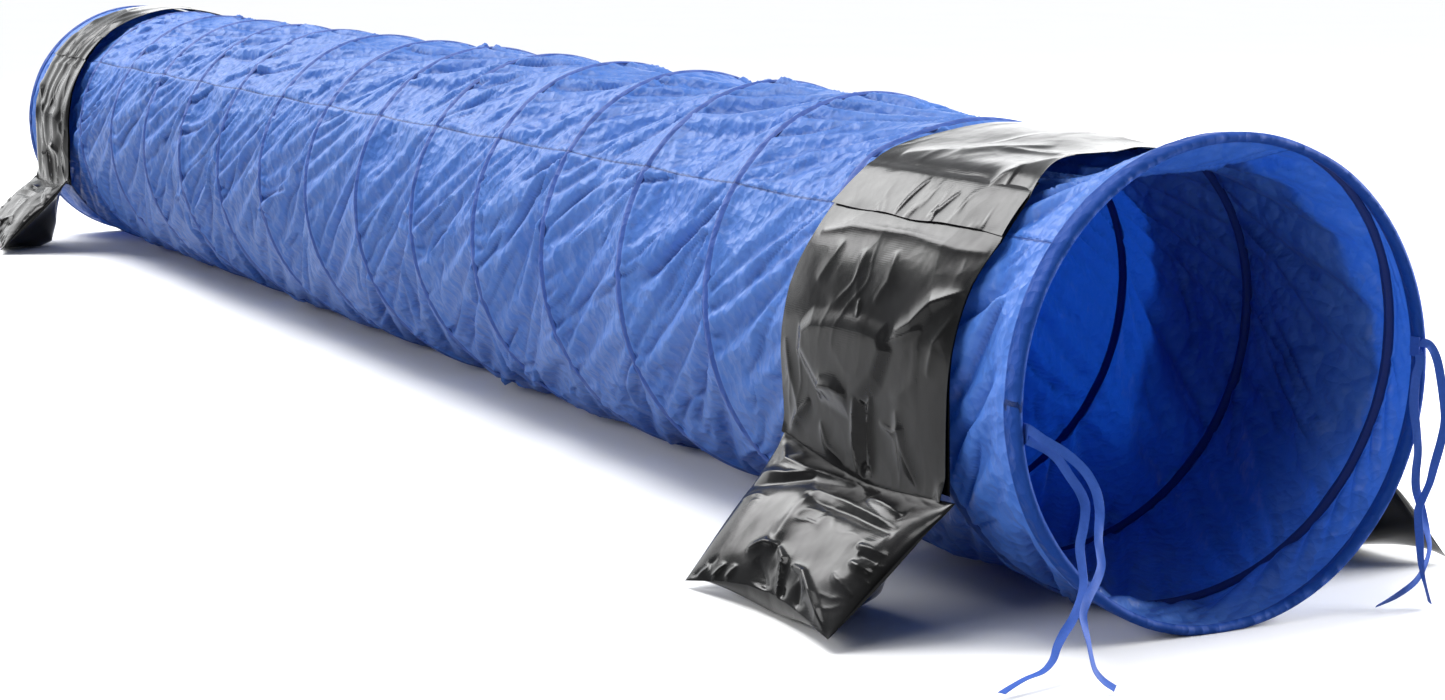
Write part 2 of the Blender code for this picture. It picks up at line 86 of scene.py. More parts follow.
# Folds of the cloth, relaxed on a patch of a few bays that repeats along the tunnel
PATCH_BAYS = 4
PATCH_ROWS = 40
PATCH_FRAMES = 18
TWIST = 0.070
SLACK = 0.028
UNEVEN = 0.006  # how far the cut strays from even, in metres
DIAGONAL = 0.7071

# Saddles
BAND_BOXES = {end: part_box(f"{end}_band") for end in ("near", "far")}
SADDLE_X = {end: (low.x + high.x) / 2 for end, (low, high) in BAND_BOXES.items()}
SADDLE_W = BAND_BOXES["near"][1].x - BAND_BOXES["near"][0].x
BAND_R = 0.3033
PANEL_R = 0.3056
FLAP_R = 0.3072
SHEET_T = 0.0008
CREASE_Z = 0.170
SLIT_DEG = 142.5

# Camera, fitted to the two mouths and the outlines of the tube in the photograph
CAMERA_AT = Vector((4.97358, -2.00562, 0.85934))
CAMERA_AZIMUTH = math.radians(62.888)
CAMERA_ELEVATION = math.radians(9.083)
FOCAL_PX = 2770.26
PHOTO_PX = (1445, 700)
SENSOR_MM = 36.0

# Ribbons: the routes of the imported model's ribbons
RIBBON_W = 0.011
RIBBON_T = 0.0007
RIBBON_STEPS = 6
RIBBON_FACING = Vector((0.85, -0.45, 0.20))
RIBBON_ROUTES = {
    "left_tie_a": [
        (2.3760, -0.2852, 0.2605), (2.387, -0.272, 0.253), (2.394, -0.257, 0.240),
        (2.401, -0.244, 0.219), (2.408, -0.234, 0.201), (2.413, -0.230, 0.184),
        (2.421, -0.238, 0.162), (2.428, -0.247, 0.143), (2.436, -0.249, 0.120),
        (2.441, -0.250, 0.104), (2.448, -0.259, 0.086), (2.455, -0.274, 0.067),
        (2.461, -0.289, 0.055), (2.466, -0.301, 0.042), (2.471, -0.310, 0.029),
        (2.477, -0.327, 0.020), (2.484, -0.354, 0.017), (2.489, -0.373, 0.013),
        (2.495, -0.393, 0.008),
    ],
    "left_tie_b": [
        (2.3760, -0.2852, 0.2735), (2.390, -0.273, 0.262), (2.400, -0.257, 0.251),
        (2.410, -0.243, 0.238), (2.419, -0.232, 0.223), (2.428, -0.226, 0.204),
        (2.437, -0.227, 0.184), (2.446, -0.234, 0.167), (2.453, -0.239, 0.154),
        (2.460, -0.241, 0.141), (2.467, -0.244, 0.129), (2.474, -0.254, 0.116),
        (2.481, -0.267, 0.105), (2.488, -0.278, 0.095), (2.494, -0.286, 0.084),
        (2.501, -0.288, 0.071), (2.508, -0.288, 0.057), (2.516, -0.289, 0.041),
        (2.523, -0.288, 0.027), (2.530, -0.281, 0.016), (2.537, -0.271, 0.008),
    ],
    "right_tie_a": [
        (2.3760, 0.2852, 0.3325), (2.386, 0.292, 0.330), (2.390, 0.301, 0.312),
        (2.392, 0.309, 0.277), (2.393, 0.315, 0.239), (2.394, 0.309, 0.209),
        (2.395, 0.299, 0.181), (2.396, 0.292, 0.160), (2.397, 0.282, 0.143),
        (2.398, 0.274, 0.129), (2.399, 0.274, 0.112), (2.399, 0.277, 0.091),
        (2.399, 0.279, 0.069), (2.399, 0.283, 0.047), (2.399, 0.290, 0.027),
        (2.399, 0.297, 0.008),
    ],
    "right_tie_b": [
        (2.3760, 0.2852, 0.3195), (2.381, 0.282, 0.307), (2.382, 0.276, 0.290),
        (2.382, 0.274, 0.258), (2.382, 0.280, 0.225), (2.382, 0.284, 0.197),
        (2.382, 0.282, 0.171), (2.382, 0.283, 0.151), (2.383, 0.289, 0.133),
        (2.384, 0.296, 0.112), (2.384, 0.303, 0.092), (2.384, 0.307, 0.072),
        (2.385, 0.300, 0.052), (2.385, 0.287, 0.034), (2.386, 0.259, 0.020),
        (2.386, 0.226, 0.009),
    ],
}


class Pattern:
    """A shader socket that takes Python's operators, so that a pattern reads as a formula."""

    def __init__(self, tree, socket):
        self.tree = tree
        self.socket = socket

    def maths(self, operation, *others, clamp=False):
        node = self.tree.nodes.new("ShaderNodeMath")
        node.operation = operation
        node.use_clamp = clamp
        for place, value in zip(node.inputs, (self, *others)):
            put(self.tree, place, value)
        return Pattern(self.tree, node.outputs[0])

    def __add__(self, other):
        return self.maths("ADD", other)

    __radd__ = __add__

    def __mul__(self, other):
        return self.maths("MULTIPLY", other)

    __rmul__ = __mul__

    def __sub__(self, other):
        return self.maths("SUBTRACT", other)

    def __rsub__(self, other):
        return (self * -1.0) + other

    def __abs__(self):
        return self.maths("ABSOLUTE")

    def sine(self):
        return self.maths("SINE")

    def clamped(self):
        return self.maths("ADD", 0.0, clamp=True)


def put(tree, place, value):
    """Set a socket to a plain value, or link it to a pattern or another socket."""
    if isinstance(value, Pattern):
        tree.links.new(value.socket, place)
    elif isinstance(value, bpy.types.NodeSocket):
        tree.links.new(value, place)
    else:
        place.default_value = value


class Finish:
    """One material and the nodes in it."""

    def __init__(self, name):
        self.material = bpy.data.materials.new(name)
        self.material.use_nodes = True
        self.tree = self.material.node_tree
        self.tree.nodes.clear()
        self.output = self.tree.nodes.new("ShaderNodeOutputMaterial")

    def node(self, kind, settings=None, **values):
        """Make a node, set what it is, then fill its sockets by name, with _ for a space."""
        node = self.tree.nodes.new(kind)
        for key, value in (settings or {}).items():
            setattr(node, key, value)
        for key, value in values.items():
            put(self.tree, node.inputs[key.replace("_", " ")], value)
        return node

    def pattern(self, socket):
        return Pattern(self.tree, socket)

    def place(self):
        return self.node("ShaderNodeTexCoord").outputs["Object"]

    def value(self, name):
        """A number stored on the piece's points."""
        node = self.node("ShaderNodeAttribute", {"attribute_name": name})
        return self.pattern(node.outputs["Fac"])

    def flat_place(self, x, y):
        return self.node("ShaderNodeCombineXYZ", X=x, Y=y).outputs[0]

    def noise(self, vector, scale, detail=3.0, roughness=0.55):
        values = {"Vector": vector, "Scale": scale, "Detail": detail, "Roughness": roughness}
        return self.pattern(self.node("ShaderNodeTexNoise", **values).outputs["Fac"])

    def creased(self, vector, scale):
        """Sharp ridges between flat facets, as in crumpled cloth."""
        shift = self.node("ShaderNodeTexNoise", Vector=vector, Scale=scale * 0.6, Detail=2.0)
        moved = self.node("ShaderNodeVectorMath", {"operation": "MULTIPLY_ADD"})
        for place, value in zip(moved.inputs, (shift.outputs["Color"], (0.9 / scale,) * 3, vector)):
            put(self.tree, place, value)
        cells = self.node("ShaderNodeTexVoronoi", {"feature": "F1"}, Vector=moved.outputs[0], Scale=scale)
        return self.pattern(cells.outputs["Distance"])

    def ramp(self, fac, *stops):
        node = self.node("ShaderNodeValToRGB", Fac=fac)
        elements = node.color_ramp.elements
        while len(elements) < len(stops):
            elements.new(0.5)
        for element, (place, colour) in zip(elements, stops):
            element.position = place
            element.color = (*colour, 1.0)
        return node.outputs["Color"]

    def blend(self, fac, one, other):
        node = self.node("ShaderNodeMix", {"data_type": "RGBA"})
        put(self.tree, node.inputs[0], fac)
        for place, colour in zip((node.inputs[6], node.inputs[7]), (one, other)):
            put(self.tree, place, (*colour, 1.0) if isinstance(colour, tuple) else colour)
        return node.outputs[2]

    def bump(self, height, distance, strength=1.0, under=None):
        node = self.node("ShaderNodeBump", Height=height, Distance=distance, Strength=strength)
        if under is not None:
            put(self.tree, node.inputs["Normal"], under)
        return node.outputs["Normal"]

    def principled(self, **values):
        return self.node("ShaderNodeBsdfPrincipled", **values).outputs[0]

    def surface(self, shader):
        self.tree.links.new(shader, self.output.inputs["Surface"])
        return self.material


def within(value, edge, sharp):
    """A mask that is 1 below an edge."""
    return 1 - ((value - edge) * sharp).clamped()


def line_at(value, place, sharp):
    """A mask that is 1 on a line."""
    return 1 - (abs(value - place) * sharp).clamped()


def smooth_step(x, low, high):
    s = np.clip((x - low) / (high - low), 0, 1)
    return s * s * (3 - 2 * s)


def bell(x, width):
    return np.exp(-((x / width) ** 2))


NOISE_CELLS = 256  # the noise repeats after this many units


def smooth_noise(x, y, seed):
    """Noise from -1 to 1 over a plane, with about one bump to a unit."""
    table = np.random.default_rng(seed).uniform(-1, 1, (NOISE_CELLS, NOISE_CELLS))
    i = np.floor(x).astype(int)
    j = np.floor(y).astype(int)
    fx = smooth_step(x - i, 0, 1)
    fy = smooth_step(y - j, 0, 1)
    i0, i1 = i % NOISE_CELLS, (i + 1) % NOISE_CELLS
    j0, j1 = j % NOISE_CELLS, (j + 1) % NOISE_CELLS
    low = table[i0, j0] * (1 - fx) + table[i1, j0] * fx
    high = table[i0, j1] * (1 - fx) + table[i1, j1] * fx
    return low * (1 - fy) + high * fy


def sharp_folds(along, across, length, width, seed):
    """Long narrow folds with a sharp crest, from 0 to 1, each longer along than across."""
    warp = smooth_noise(along / length * 1.7, across / length * 1.7, seed + 1) * 0.6
    n = smooth_noise(along / length + warp * 0.4, across / width + warp * 1.5, seed)
    patch = smooth_step(smooth_noise(along / length * 0.8, across / length * 1.3, seed + 2), -0.3, 0.6)
    return (1 - np.abs(n)) ** 4 * patch


def creases(u, v, lines):
    """Height of listed folds over a sheet. Each has its points, its width and its height."""
    height = np.zeros_like(u)
    for points, width, peak in lines:
        best = np.full_like(u, np.inf)
        share = np.zeros_like(u)
        lengths = [math.dist(a, b) for a, b in zip(points, points[1:])]
        total = sum(lengths)
        gone = 0.0
        for (a, b), length in zip(zip(points, points[1:]), lengths):
            du, dv = b[0] - a[0], b[1] - a[1]
            s = np.clip(((u - a[0]) * du + (v - a[1]) * dv) / (length * length), 0, 1)
            d = np.hypot(u - a[0] - s * du, v - a[1] - s * dv)
            near = d < best
            best = np.where(near, d, best)
            share = np.where(near, (gone + s * length) / total, share)
            gone += length
        ends = np.clip(4 * share * (1 - share), 0, 1) ** 0.6
        w = width * (0.35 + 0.65 * ends)
        height += peak * ends * np.exp(-((best / w) ** 1.25))
    return height


def store(mesh, values):
    """Keep numbers on a mesh's points, for its material to read."""
    for key, field in values.items():
        attribute = mesh.attributes.new(key, "FLOAT", "POINT")
        attribute.data.foreach_set("value", field.astype(np.float32))


def link(name, data):
    piece = bpy.data.objects.new(name, data)
    bpy.context.scene.collection.objects.link(piece)
    return piece


def grid_piece(name, points, material, values=None):
    """A sheet whose points are given in rows, on a grid that bmesh makes."""
    rows, columns = points.shape[0] - 1, points.shape[1] - 1
    bm = bmesh.new()
    bmesh.ops.create_grid(bm, x_segments=columns, y_segments=rows, size=0.5)
    mesh = bpy.data.meshes.new(name)
    bm.to_mesh(mesh)
    bm.free()
    flat = np.empty(len(mesh.vertices) * 3)
    mesh.vertices.foreach_get("co", flat)
    flat = flat.reshape(-1, 3)
    i = np.rint((flat[:, 0] + 0.5) * columns).astype(int)
    j = np.rint((flat[:, 1] + 0.5) * rows).astype(int)
    mesh.vertices.foreach_set("co", points[j, i].ravel())
    store(mesh, {key: field[j, i] for key, field in (values or {}).items()})
    mesh.update()
    mesh.shade_smooth()
    mesh.materials.append(material)
    return link(name, mesh)


SHARP_DEG = 50  # edges steeper than this are shaded sharp


def finish_mesh(piece, bm):
    """Turn a mesh's faces outwards, put it back into its piece and shade it."""
    bmesh.ops.recalc_face_normals(bm, faces=bm.faces)
    bm.to_mesh(piece.data)
    bm.free()
    piece.data.shade_smooth()
    piece.data.set_sharp_from_angle(angle=math.radians(SHARP_DEG))


def thicken(piece, thickness):
    """Give a sheet its two faces, the second one inwards."""
    bm = bmesh.new()
    bm.from_mesh(piece.data)
    bmesh.ops.solidify(bm, geom=bm.faces[:], thickness=thickness)
    finish_mesh(piece, bm)


def close_section(piece):
    """Merge a sheet that was bent into a closed section, and fill its two ends."""
    bm = bmesh.new()
    bm.from_mesh(piece.data)
    bmesh.ops.remove_doubles(bm, verts=bm.verts, dist=1e-6)
    bmesh.ops.holes_fill(bm, edges=[e for e in bm.edges if e.is_boundary], sides=0)
    finish_mesh(piece, bm)


def stand_in(piece, node, body=None):
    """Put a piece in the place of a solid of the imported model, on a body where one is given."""
    if body:
        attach(piece, body)
    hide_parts(node)


def on_tube(t, degrees, radius):
    """Points at t metres in from the near mouth, at an angle up from +Y."""
    a = np.radians(degrees)
    t, a, radius = np.broadcast_arrays(t, a, radius)
    return np.stack([MOUTH_X - t, radius * np.cos(a), AXIS_Z + radius * np.sin(a)], axis=-1)


def rib_t(phase, w):
    return RIB_START_T + PITCH * (phase + w)


def rib_degrees(phase):
    return RIB_START_DEG - 360 * phase


CLOTH_SETTINGS = {
    "quality": 4,
    "mass": 0.12,
    "tension_stiffness": 40,
    "compression_stiffness": 40,
    "shear_stiffness": 15,
    "bending_stiffness": 0.02,
    "tension_damping": 3,
    "compression_damping": 3,
    "shear_damping": 3,
    "air_damping": 1,
    "vertex_group_mass": "held",
}
GRAVITY_SHARE = 0.15


def relax(name, rest, held, pinned, frames):
    """Cut a sheet to one shape, hold some of its points in another, and let the rest find its folds."""
    piece = grid_piece(name, rest, None)
    mesh = piece.data
    flat = np.empty(len(mesh.vertices) * 3)
    piece.shape_key_add(name="cut")
    key = piece.shape_key_add(name="held")
    key.data.foreach_set("co", held.ravel())
    for value, frame_number in ((0, 1), (1, frames // 2)):
        key.value = value
        key.keyframe_insert("value", frame=frame_number)
    group = piece.vertex_groups.new(name="held")
    group.add([int(i) for i in np.flatnonzero(pinned.ravel())], 1.0, "REPLACE")
    cloth = piece.modifiers.new("Cloth", "CLOTH")
    for setting, value in CLOTH_SETTINGS.items():
        setattr(cloth.settings, setting, value)
    cloth.settings.effector_weights.gravity = GRAVITY_SHARE
    cloth.collision_settings.use_collision = False
    cloth.point_cache.frame_end = frames
    scene = bpy.context.scene
    for step in range(1, frames + 1):
        scene.frame_set(step)
    found = piece.evaluated_get(bpy.context.evaluated_depsgraph_get())
    found.data.vertices.foreach_get("co", flat)
    points = flat.reshape(rest.shape).copy()
    bpy.data.objects.remove(piece)
    bpy.data.meshes.remove(mesh)
    scene.frame_set(1)
    return points


def patch_folds(name, first, last, columns):
    """How the cloth of one panel leaves its tube, over a patch of bays: along, round and out."""
    rows = PATCH_BAYS * PATCH_ROWS
    phase, w = np.meshgrid(np.linspace(first, last, columns + 1), np.linspace(0, PATCH_BAYS, rows + 1))
    t = rib_t(phase, w)
    degrees = rib_degrees(phase)
    round_m = np.radians(degrees) * SKIN_R
    bay = w - np.floor(w + 1e-6)
    edge = np.minimum(bay, 1 - bay)
    loose = np.clip(edge * 12, 0, 1)
    for inside in (phase - first, last - phase):
        loose = loose * np.clip(inside * 60, 0, 1)
    start = -0.003 * np.sin(np.pi * np.clip(bay, 0, 1))
    start = start + 0.0008 * smooth_noise(round_m * 70, t * 70, 5) * loose
    middle = rib_t(0.5, PATCH_BAYS / 2)
    uneven = smooth_noise(round_m * 3.1, t * 4.3, 7)
    twist = TWIST * (t - middle) * (1 + 0.25 * uneven) + UNEVEN * smooth_noise(round_m * 9, t * 9, 8)
    stretch = (t - middle) * (1 + SLACK) + UNEVEN * smooth_noise(round_m * 9, t * 9, 9)
    held = on_tube(t, degrees, SKIN_R + start)
    cut = on_tube(middle + stretch, degrees - np.degrees(twist / SKIN_R), SKIN_R * (1 + SLACK) + start)
    pinned = (edge < 1e-3) | (phase < first + 1e-6) | (phase > last - 1e-6)
    lies = relax(name, cut, held, pinned, PATCH_FRAMES)
    move = lies - on_tube(t, degrees, SKIN_R + 0 * t)
    a = np.radians(degrees)
    outward = np.stack([0 * a, np.cos(a), np.sin(a)], axis=-1)
    onward = np.stack([0 * a, -np.sin(a), np.cos(a)], axis=-1)
    return np.stack([move[..., 0], (move * onward).sum(-1), (move * outward).sum(-1)], axis=-1)


def weights(s):
    """Catmull-Rom weights for a place between its second and third point."""
    return (
        -0.5 * s + s**2 - 0.5 * s**3,
        1 - 2.5 * s**2 + 1.5 * s**3,
        0.5 * s + 2 * s**2 - 1.5 * s**3,
        -0.5 * s**2 + 0.5 * s**3,
    )


def resample_rows(field, places):
    """Rows of a patch that repeats, read between its own rows."""
    count = field.shape[0] - 1
    base = np.floor(places).astype(int)
    s = (places - base)[:, None, None]
    return sum(k * field[(base + i - 1) % count] for i, k in enumerate(weights(s)))


def resample_columns(field, places):
    last = field.shape[1] - 1
    base = np.clip(np.floor(places).astype(int), 0, last - 1)
    s = (places - base)[None, :, None]
    return sum(k * field[:, np.clip(base + i - 1, 0, last)] for i, k in enumerate(weights(s)))


NEAR_RIB = [0.0, 0.002, 0.004, 0.006, 0.008, 0.010, 0.0125, 0.016]  # rows beside a rib, in metres
BAY_MIDDLE_ROWS = 40
LAST_BAY = 15  # from here on the bays are cut short by the far mouth
LAST_ROWS = 64


def bay_rows():
    """Rows of the fine cloth, in bays: close together beside each rib, wider between them."""
    near = np.array(NEAR_RIB) / PITCH
    middle = np.linspace(near[-1], 1 - near[-1], BAY_MIDDLE_ROWS + 2)[1:-1]
    bay = np.concatenate([near, middle, 1 - near[::-1]])[:-1]
    whole = np.concatenate([k + bay for k in range(-1, LAST_BAY)])
    return np.concatenate([whole, np.linspace(LAST_BAY, LAST_BAY + 2, LAST_ROWS)])


def darts(t, round_m, span, seed, count):
    """Sharp folds that start at the ribs and run out across the bays."""
    height = np.zeros_like(t)
    random = np.random.default_rng(seed)
    line = round_m[0]
    for _ in range(count):
        t0 = random.uniform(0.03, LENGTH - 0.03)
        r0 = random.uniform(*span)
        length = random.choice([0.05, 0.08, 0.12, 0.18, 0.24]) * random.uniform(0.8, 1.3)
        width = random.uniform(0.0042, 0.0070) * (0.75 + 2.6 * length)
        peak = random.uniform(0.45, 0.95) * width
        angle = math.radians(random.normal(41, 13))
        bend = random.uniform(-1.2, 1.2)
        side = random.choice([-1, 1])
        near = np.flatnonzero(np.abs(line - r0) < 0.55 * length + 0.03)
        if not len(near):
            continue
        middle = (near[0] + near[-1]) // 2
        close = np.flatnonzero(np.abs(t[:, middle] - t0) < 0.55 * length + 0.08)
        if not len(close):
            continue
        part = (slice(close[0], close[-1] + 1), slice(near[0], near[-1] + 1))
        dt, dr = t[part] - t0, round_m[part] - r0
        along = (dt * math.cos(angle) + dr * math.sin(angle)) / length
        across = dr * math.cos(angle) - dt * math.sin(angle)
        across = across + bend * length * (along * along - 0.1) * 0.35
        taper = np.clip(1 - 4 * along * along, 0, 1) ** 0.7
        wide = width * (0.45 + 0.55 * np.clip(along + 0.5, 0, 1))
        valley = np.exp(-((across / wide) ** 2))
        ridge = np.exp(-(((side * across - 1.7 * wide) / (1.25 * wide)) ** 2))
        height[part] += peak * taper * (0.8 * ridge - valley)
    return height


FOLD_CURVE = 260  # curvature at which a fold counts as sharp, per metre


def bend_along(out, place, axis):
    """The curvature of a sheet's height along one axis of its grid."""
    step = np.gradient(place, axis=axis)
    return np.gradient(np.gradient(out, axis=axis) / step, axis=axis) / step


def hollow(out, t, round_m):
    """How sharply a sheet folds at each point: 1 in a tight valley, -1 on a tight ridge. The cloth's
    material turns it into painted shade in the valleys and a painted highlight on the ridges.
    """
    return np.clip((bend_along(out, t, 0) + bend_along(out, round_m, 1)) / FOLD_CURVE, -1, 1)


# Small folds of the cloth, in metres
BAY_SAG = 0.0065
LONG_FOLD = 0.0022
SHORT_FOLD = 0.0016
RIB_PUCKER = 0.0016
SEAM_TUCK = 0.0014
HEM_PUCKER = 0.0018
STITCH_DIP = 0.0011
SEAM_DIP = 0.0010
DARTS_ROUND = 900  # darts in a panel that goes the whole way round
NO_RIB = 0.14  # distance to a rib where there is none
TUCKED_R = (0.2984, 0.2994)  # inside a hem


def add_folds(out, t, round_m, rib, seam, ends, top, count, seed):
    """Add the folds that the relaxed patch is too coarse for: sag, darts, long folds and puckers."""
    sewn = smooth_step(seam, 0.0, 0.012)
    away = smooth_step(rib, 0.004, 0.03) * sewn
    first_bay = smooth_step(t, RIB_START_T + PITCH, RIB_START_T + 1.7 * PITCH)
    dip = np.sin(np.pi * np.clip(rib / PITCH, 0, 0.5)) * (rib < NO_RIB - 0.001)
    out = out - BAY_SAG * top * first_bay * ends * dip
    span = (float(round_m.min()), float(round_m.max()))
    reach = smooth_step(rib, 0.005, 0.012) * smooth_step(seam, 0.0, 0.010) * ends
    out = out + darts(t, round_m, span, seed + 40, count) * reach
    diagonal, across = (round_m + t) * DIAGONAL, (round_m - t) * DIAGONAL
    out = out + LONG_FOLD * away * ends * (sharp_folds(diagonal, across, 0.10, 0.022, seed) - 0.25)
    out = out + SHORT_FOLD * away * (sharp_folds(across, diagonal, 0.06, 0.016, seed + 5) - 0.25)
    pucker = sharp_folds(t, round_m, 0.05, 0.013, seed + 9)
    out = out + RIB_PUCKER * pucker * sewn * bell(rib - 0.012, 0.014) * smooth_step(rib, 0.006, 0.011)
    tucks = sharp_folds(round_m, t, 0.05, 0.012, seed + 11)
    out = out + SEAM_TUCK * tucks * np.exp(-seam / 0.020) * smooth_step(seam, 0.001, 0.004)
    return out + HEM_PUCKER * pucker * sewn * bell(np.minimum(t, LENGTH - t) - 0.045, 0.020)


def pressed_by_saddles(radius, x, height):
    """Hold the cloth inside the two bands."""
    for middle in SADDLE_X.values():
        off = np.abs(x - middle) - SADDLE_W / 2
        over = (1 - smooth_step(off, -0.010, 0.020)) * smooth_step(height, -0.35, -0.15)
        pressed = np.minimum(radius, BAND_PRESS_R - 0.0008 * (1 - np.tanh((radius - 0.298) * 400)))
        radius = radius * (1 - over) + pressed * over
    return radius


def skin_points(first, last, columns, folds, seed):
    """Points of one panel of the cloth, and the numbers that its material reads."""
    even = np.linspace(0, 1, columns + 1)
    crowd = np.interp(even, [0, 0.46, 1], [0, 0.58, 1]) if last - first > 0.5 else even
    phase_line = first + (last - first) * crowd
    rows = bay_rows()
    move = resample_columns(folds, (phase_line - first) / (last - first) * (folds.shape[1] - 1))
    move = resample_rows(move, np.mod(rows, PATCH_BAYS) * PATCH_ROWS)
    phase, w = np.meshgrid(phase_line, rows)
    start = (SKIN_EDGE_T - RIB_START_T) / PITCH - phase
    end = (LENGTH - SKIN_EDGE_T - RIB_START_T) / PITCH - phase
    w = np.where(w < 0, start * -w, w)
    w = np.where(w > LAST_BAY, LAST_BAY + (end - LAST_BAY) * (w - LAST_BAY) / 2, w)
    t = rib_t(phase, w)
    degrees = rib_degrees(phase)
    height = np.sin(np.radians(degrees))
    round_m = np.radians(degrees) * SKIN_R
    turn = np.rint(w)
    on_wire = (turn + phase > -0.01) & (turn + phase < TURNS + 0.01) & (turn > -1)
    rib = np.where(on_wire, np.abs(w - turn) * PITCH * 0.99, NO_RIB)
    seam = np.minimum(phase - first, last - phase) * 2 * np.pi * SKIN_R
    hemmed = np.minimum(t, LENGTH - t)
    ends = smooth_step(t, HEM_END_T, 0.10) * smooth_step(LENGTH - t, HEM_END_T, 0.10)
    move = move * ends[..., None]
    move = move * smooth_step(rib, 0.007, 0.018)[..., None]
    count = round(DARTS_ROUND * (last - first))
    top = smooth_step(height, 0.15, 0.95)
    out = add_folds(move[..., 2], t, round_m, rib, seam, ends, top, count, seed)
    # How sharply the cloth folds here; its material paints shade into the valleys and a highlight onto the
    # ridges from this
    fold_shading = hollow(out, t, round_m) * smooth_step(rib, 0.006, 0.012)
    out = out + RIB_RIDGE * bell(rib, RIB_RIDGE_W)
    out = out - STITCH_DIP * bell(rib - STITCH_OFF, 0.0022)
    out = out - SEAM_DIP * bell(seam, 0.0025) * (hemmed > HEM_END_T)
    radius = pressed_by_saddles(SKIN_R + out, MOUTH_X - t, height)
    tucked = hemmed < HEM_END_T + 0.002
    radius = np.where(tucked, np.clip(radius, *TUCKED_R), radius)
    points = on_tube(t - move[..., 0], degrees + np.degrees(move[..., 1] / SKIN_R), radius)
    points[..., 0] = np.clip(points[..., 0], MOUTH_X - LENGTH + SKIN_EDGE_T, MOUTH_X - SKIN_EDGE_T)
    points[..., 2] = np.maximum(points[..., 2], FLOOR_GAP)
    values = {"rib": rib, "seam": seam, "round": round_m, "along": t, "hem": hemmed, "fold_shading": fold_shading}
    return seated(points), values


SEAT_DEPTH = 0.036


def seated(points):
    """Points near the top of the near saddle, pressed down by the weight of its bags."""
    x, y, z = points[..., 0], points[..., 1], points[..., 2]
    sine = (z - AXIS_Z) / np.maximum(np.hypot(y, z - AXIS_Z), 1e-6)
    share = smooth_step(x, 1.45, 2.12) * (1 - smooth_step(x, 2.19, MOUTH_X - 0.012))
    pressed = points.copy()
    pressed[..., 2] = z - SEAT_DEPTH * share * smooth_step(sine, 0.78, 1.0)
    return pressed


def squash_with_tunnel(piece):
    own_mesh(piece)


PANELS = {  # share of the way round, columns, columns of the patch, seed
    "main": ((0.0, MAIN_SHARE), 300, 190, 31),
    "top": ((MAIN_SHARE, 1.0), 90, 46, 57),
}
PANEL_LENGTHS = {"main": ["main_cloth_near", "main_cloth_middle", "main_cloth_far"], "top": ["top_cloth"]}
SLACK_ROUND = 1.02
SLACK_ALONG = 1.04


def make_skin(material):
    """The cloth tube: a main panel, cut here into three lengths along its ribs, and a top panel."""
    girth = 2 * math.pi * SKIN_R
    last_row = len(bay_rows()) - 1
    bay = (last_row + 1 - LAST_ROWS) // (LAST_BAY + 1)
    cuts = {"main": [0, 6 * bay, 12 * bay, last_row], "top": [0, last_row]}
    patches = {name: patch_folds(f"{name}_patch", *span, k) for name, (span, _, k, _) in PANELS.items()}
    for name, (span, columns, _, seed) in PANELS.items():
        points, values = skin_points(*span, columns, patches[name], seed)
        for title, low, high in zip(PANEL_LENGTHS[name], cuts[name], cuts[name][1:]):
            part = slice(low, high + 1)
            piece = grid_piece(title, points[part], material, {k: v[part] for k, v in values.items()})
            stand_in(piece, f"{name}_panel", "tunnel")
            squash_with_tunnel(piece)
            along = values["along"][part]
            run = float(along.max(axis=0).mean() - along.min(axis=0).mean())
            flat = ((span[1] - span[0]) * girth * SLACK_ROUND, run * SLACK_ALONG)


CASING_HALF_W = 0.009
CASING_DEPTH = 0.0052  # how far the tape stands in where it holds the wire
WIRE_R = 0.002
WIRE_PATH_R = 0.2961


def make_casing(material):
    """The tape inside that holds the wire, sewn along both its edges."""
    half = CASING_HALF_W
    across = np.concatenate([np.linspace(-half, half, 13), np.linspace(half, -half, 13), [-half]])
    inner = np.concatenate([np.ones(13), np.zeros(13), [1]])
    s = np.linspace(0.012, TURNS - 0.012, round(TURNS * 120))
    run, width = np.meshgrid(s, across, indexing="ij")
    round_m = run * 2 * np.pi * SKIN_R
    wave = 0.0012 * smooth_noise(round_m * 28, width * 40, 71)
    depth = CASING_DEPTH * np.exp(-np.abs(width / 0.0046) ** 2.4)
    radius = SKIN_R - 0.0012 - depth - 0.0007 * np.broadcast_to(inner, run.shape)
    radius = radius - 0.0006 * np.abs(smooth_noise(round_m * 60, width * 90, 73))
    t = RIB_START_T + PITCH * run + width + wave * np.abs(width) / half
    t = np.clip(t, 0.004, LENGTH - 0.004)
    points = seated(on_tube(t, rib_degrees(run), radius))
    piece = grid_piece("casing_band", points, material, {"round": round_m, "width": width})
    close_section(piece)
    stand_in(piece, "casing_tape", "tunnel")
    squash_with_tunnel(piece)


def make_wire(material):
    ring = np.linspace(0, 2 * np.pi, 9)
    s = np.linspace(0.0043, TURNS - 0.0043, round(TURNS * 96))
    run, turn = np.meshgrid(s, ring, indexing="ij")
    radius = WIRE_PATH_R + WIRE_R * np.cos(turn)
    t = RIB_START_T + PITCH * run + WIRE_R * np.sin(turn)
    piece = grid_piece("spring_wire", seated(on_tube(t, rib_degrees(run), radius)), material)
    close_section(piece)
    stand_in(piece, "helix_wire", "tunnel")
    squash_with_tunnel(piece)


HEM_SECTION = [
    (0.0280, 0.3000),
    (0.0272, 0.3008),
    (0.0250, 0.3006),
    (0.0200, 0.3009),
    (0.0130, 0.3014),
    (0.0070, 0.3014),
    (0.0035, 0.3004),
    (0.0010, 0.2982),
    (0.0000, 0.2952),
    (0.0010, 0.2922),
    (0.0035, 0.2900),
    (0.0070, 0.2890),
    (0.0130, 0.2900),
    (0.0200, 0.2936),
    (0.0250, 0.2966),
    (0.0272, 0.2968),
    (0.0280, 0.2976),
]


HEM_STEPS = 288


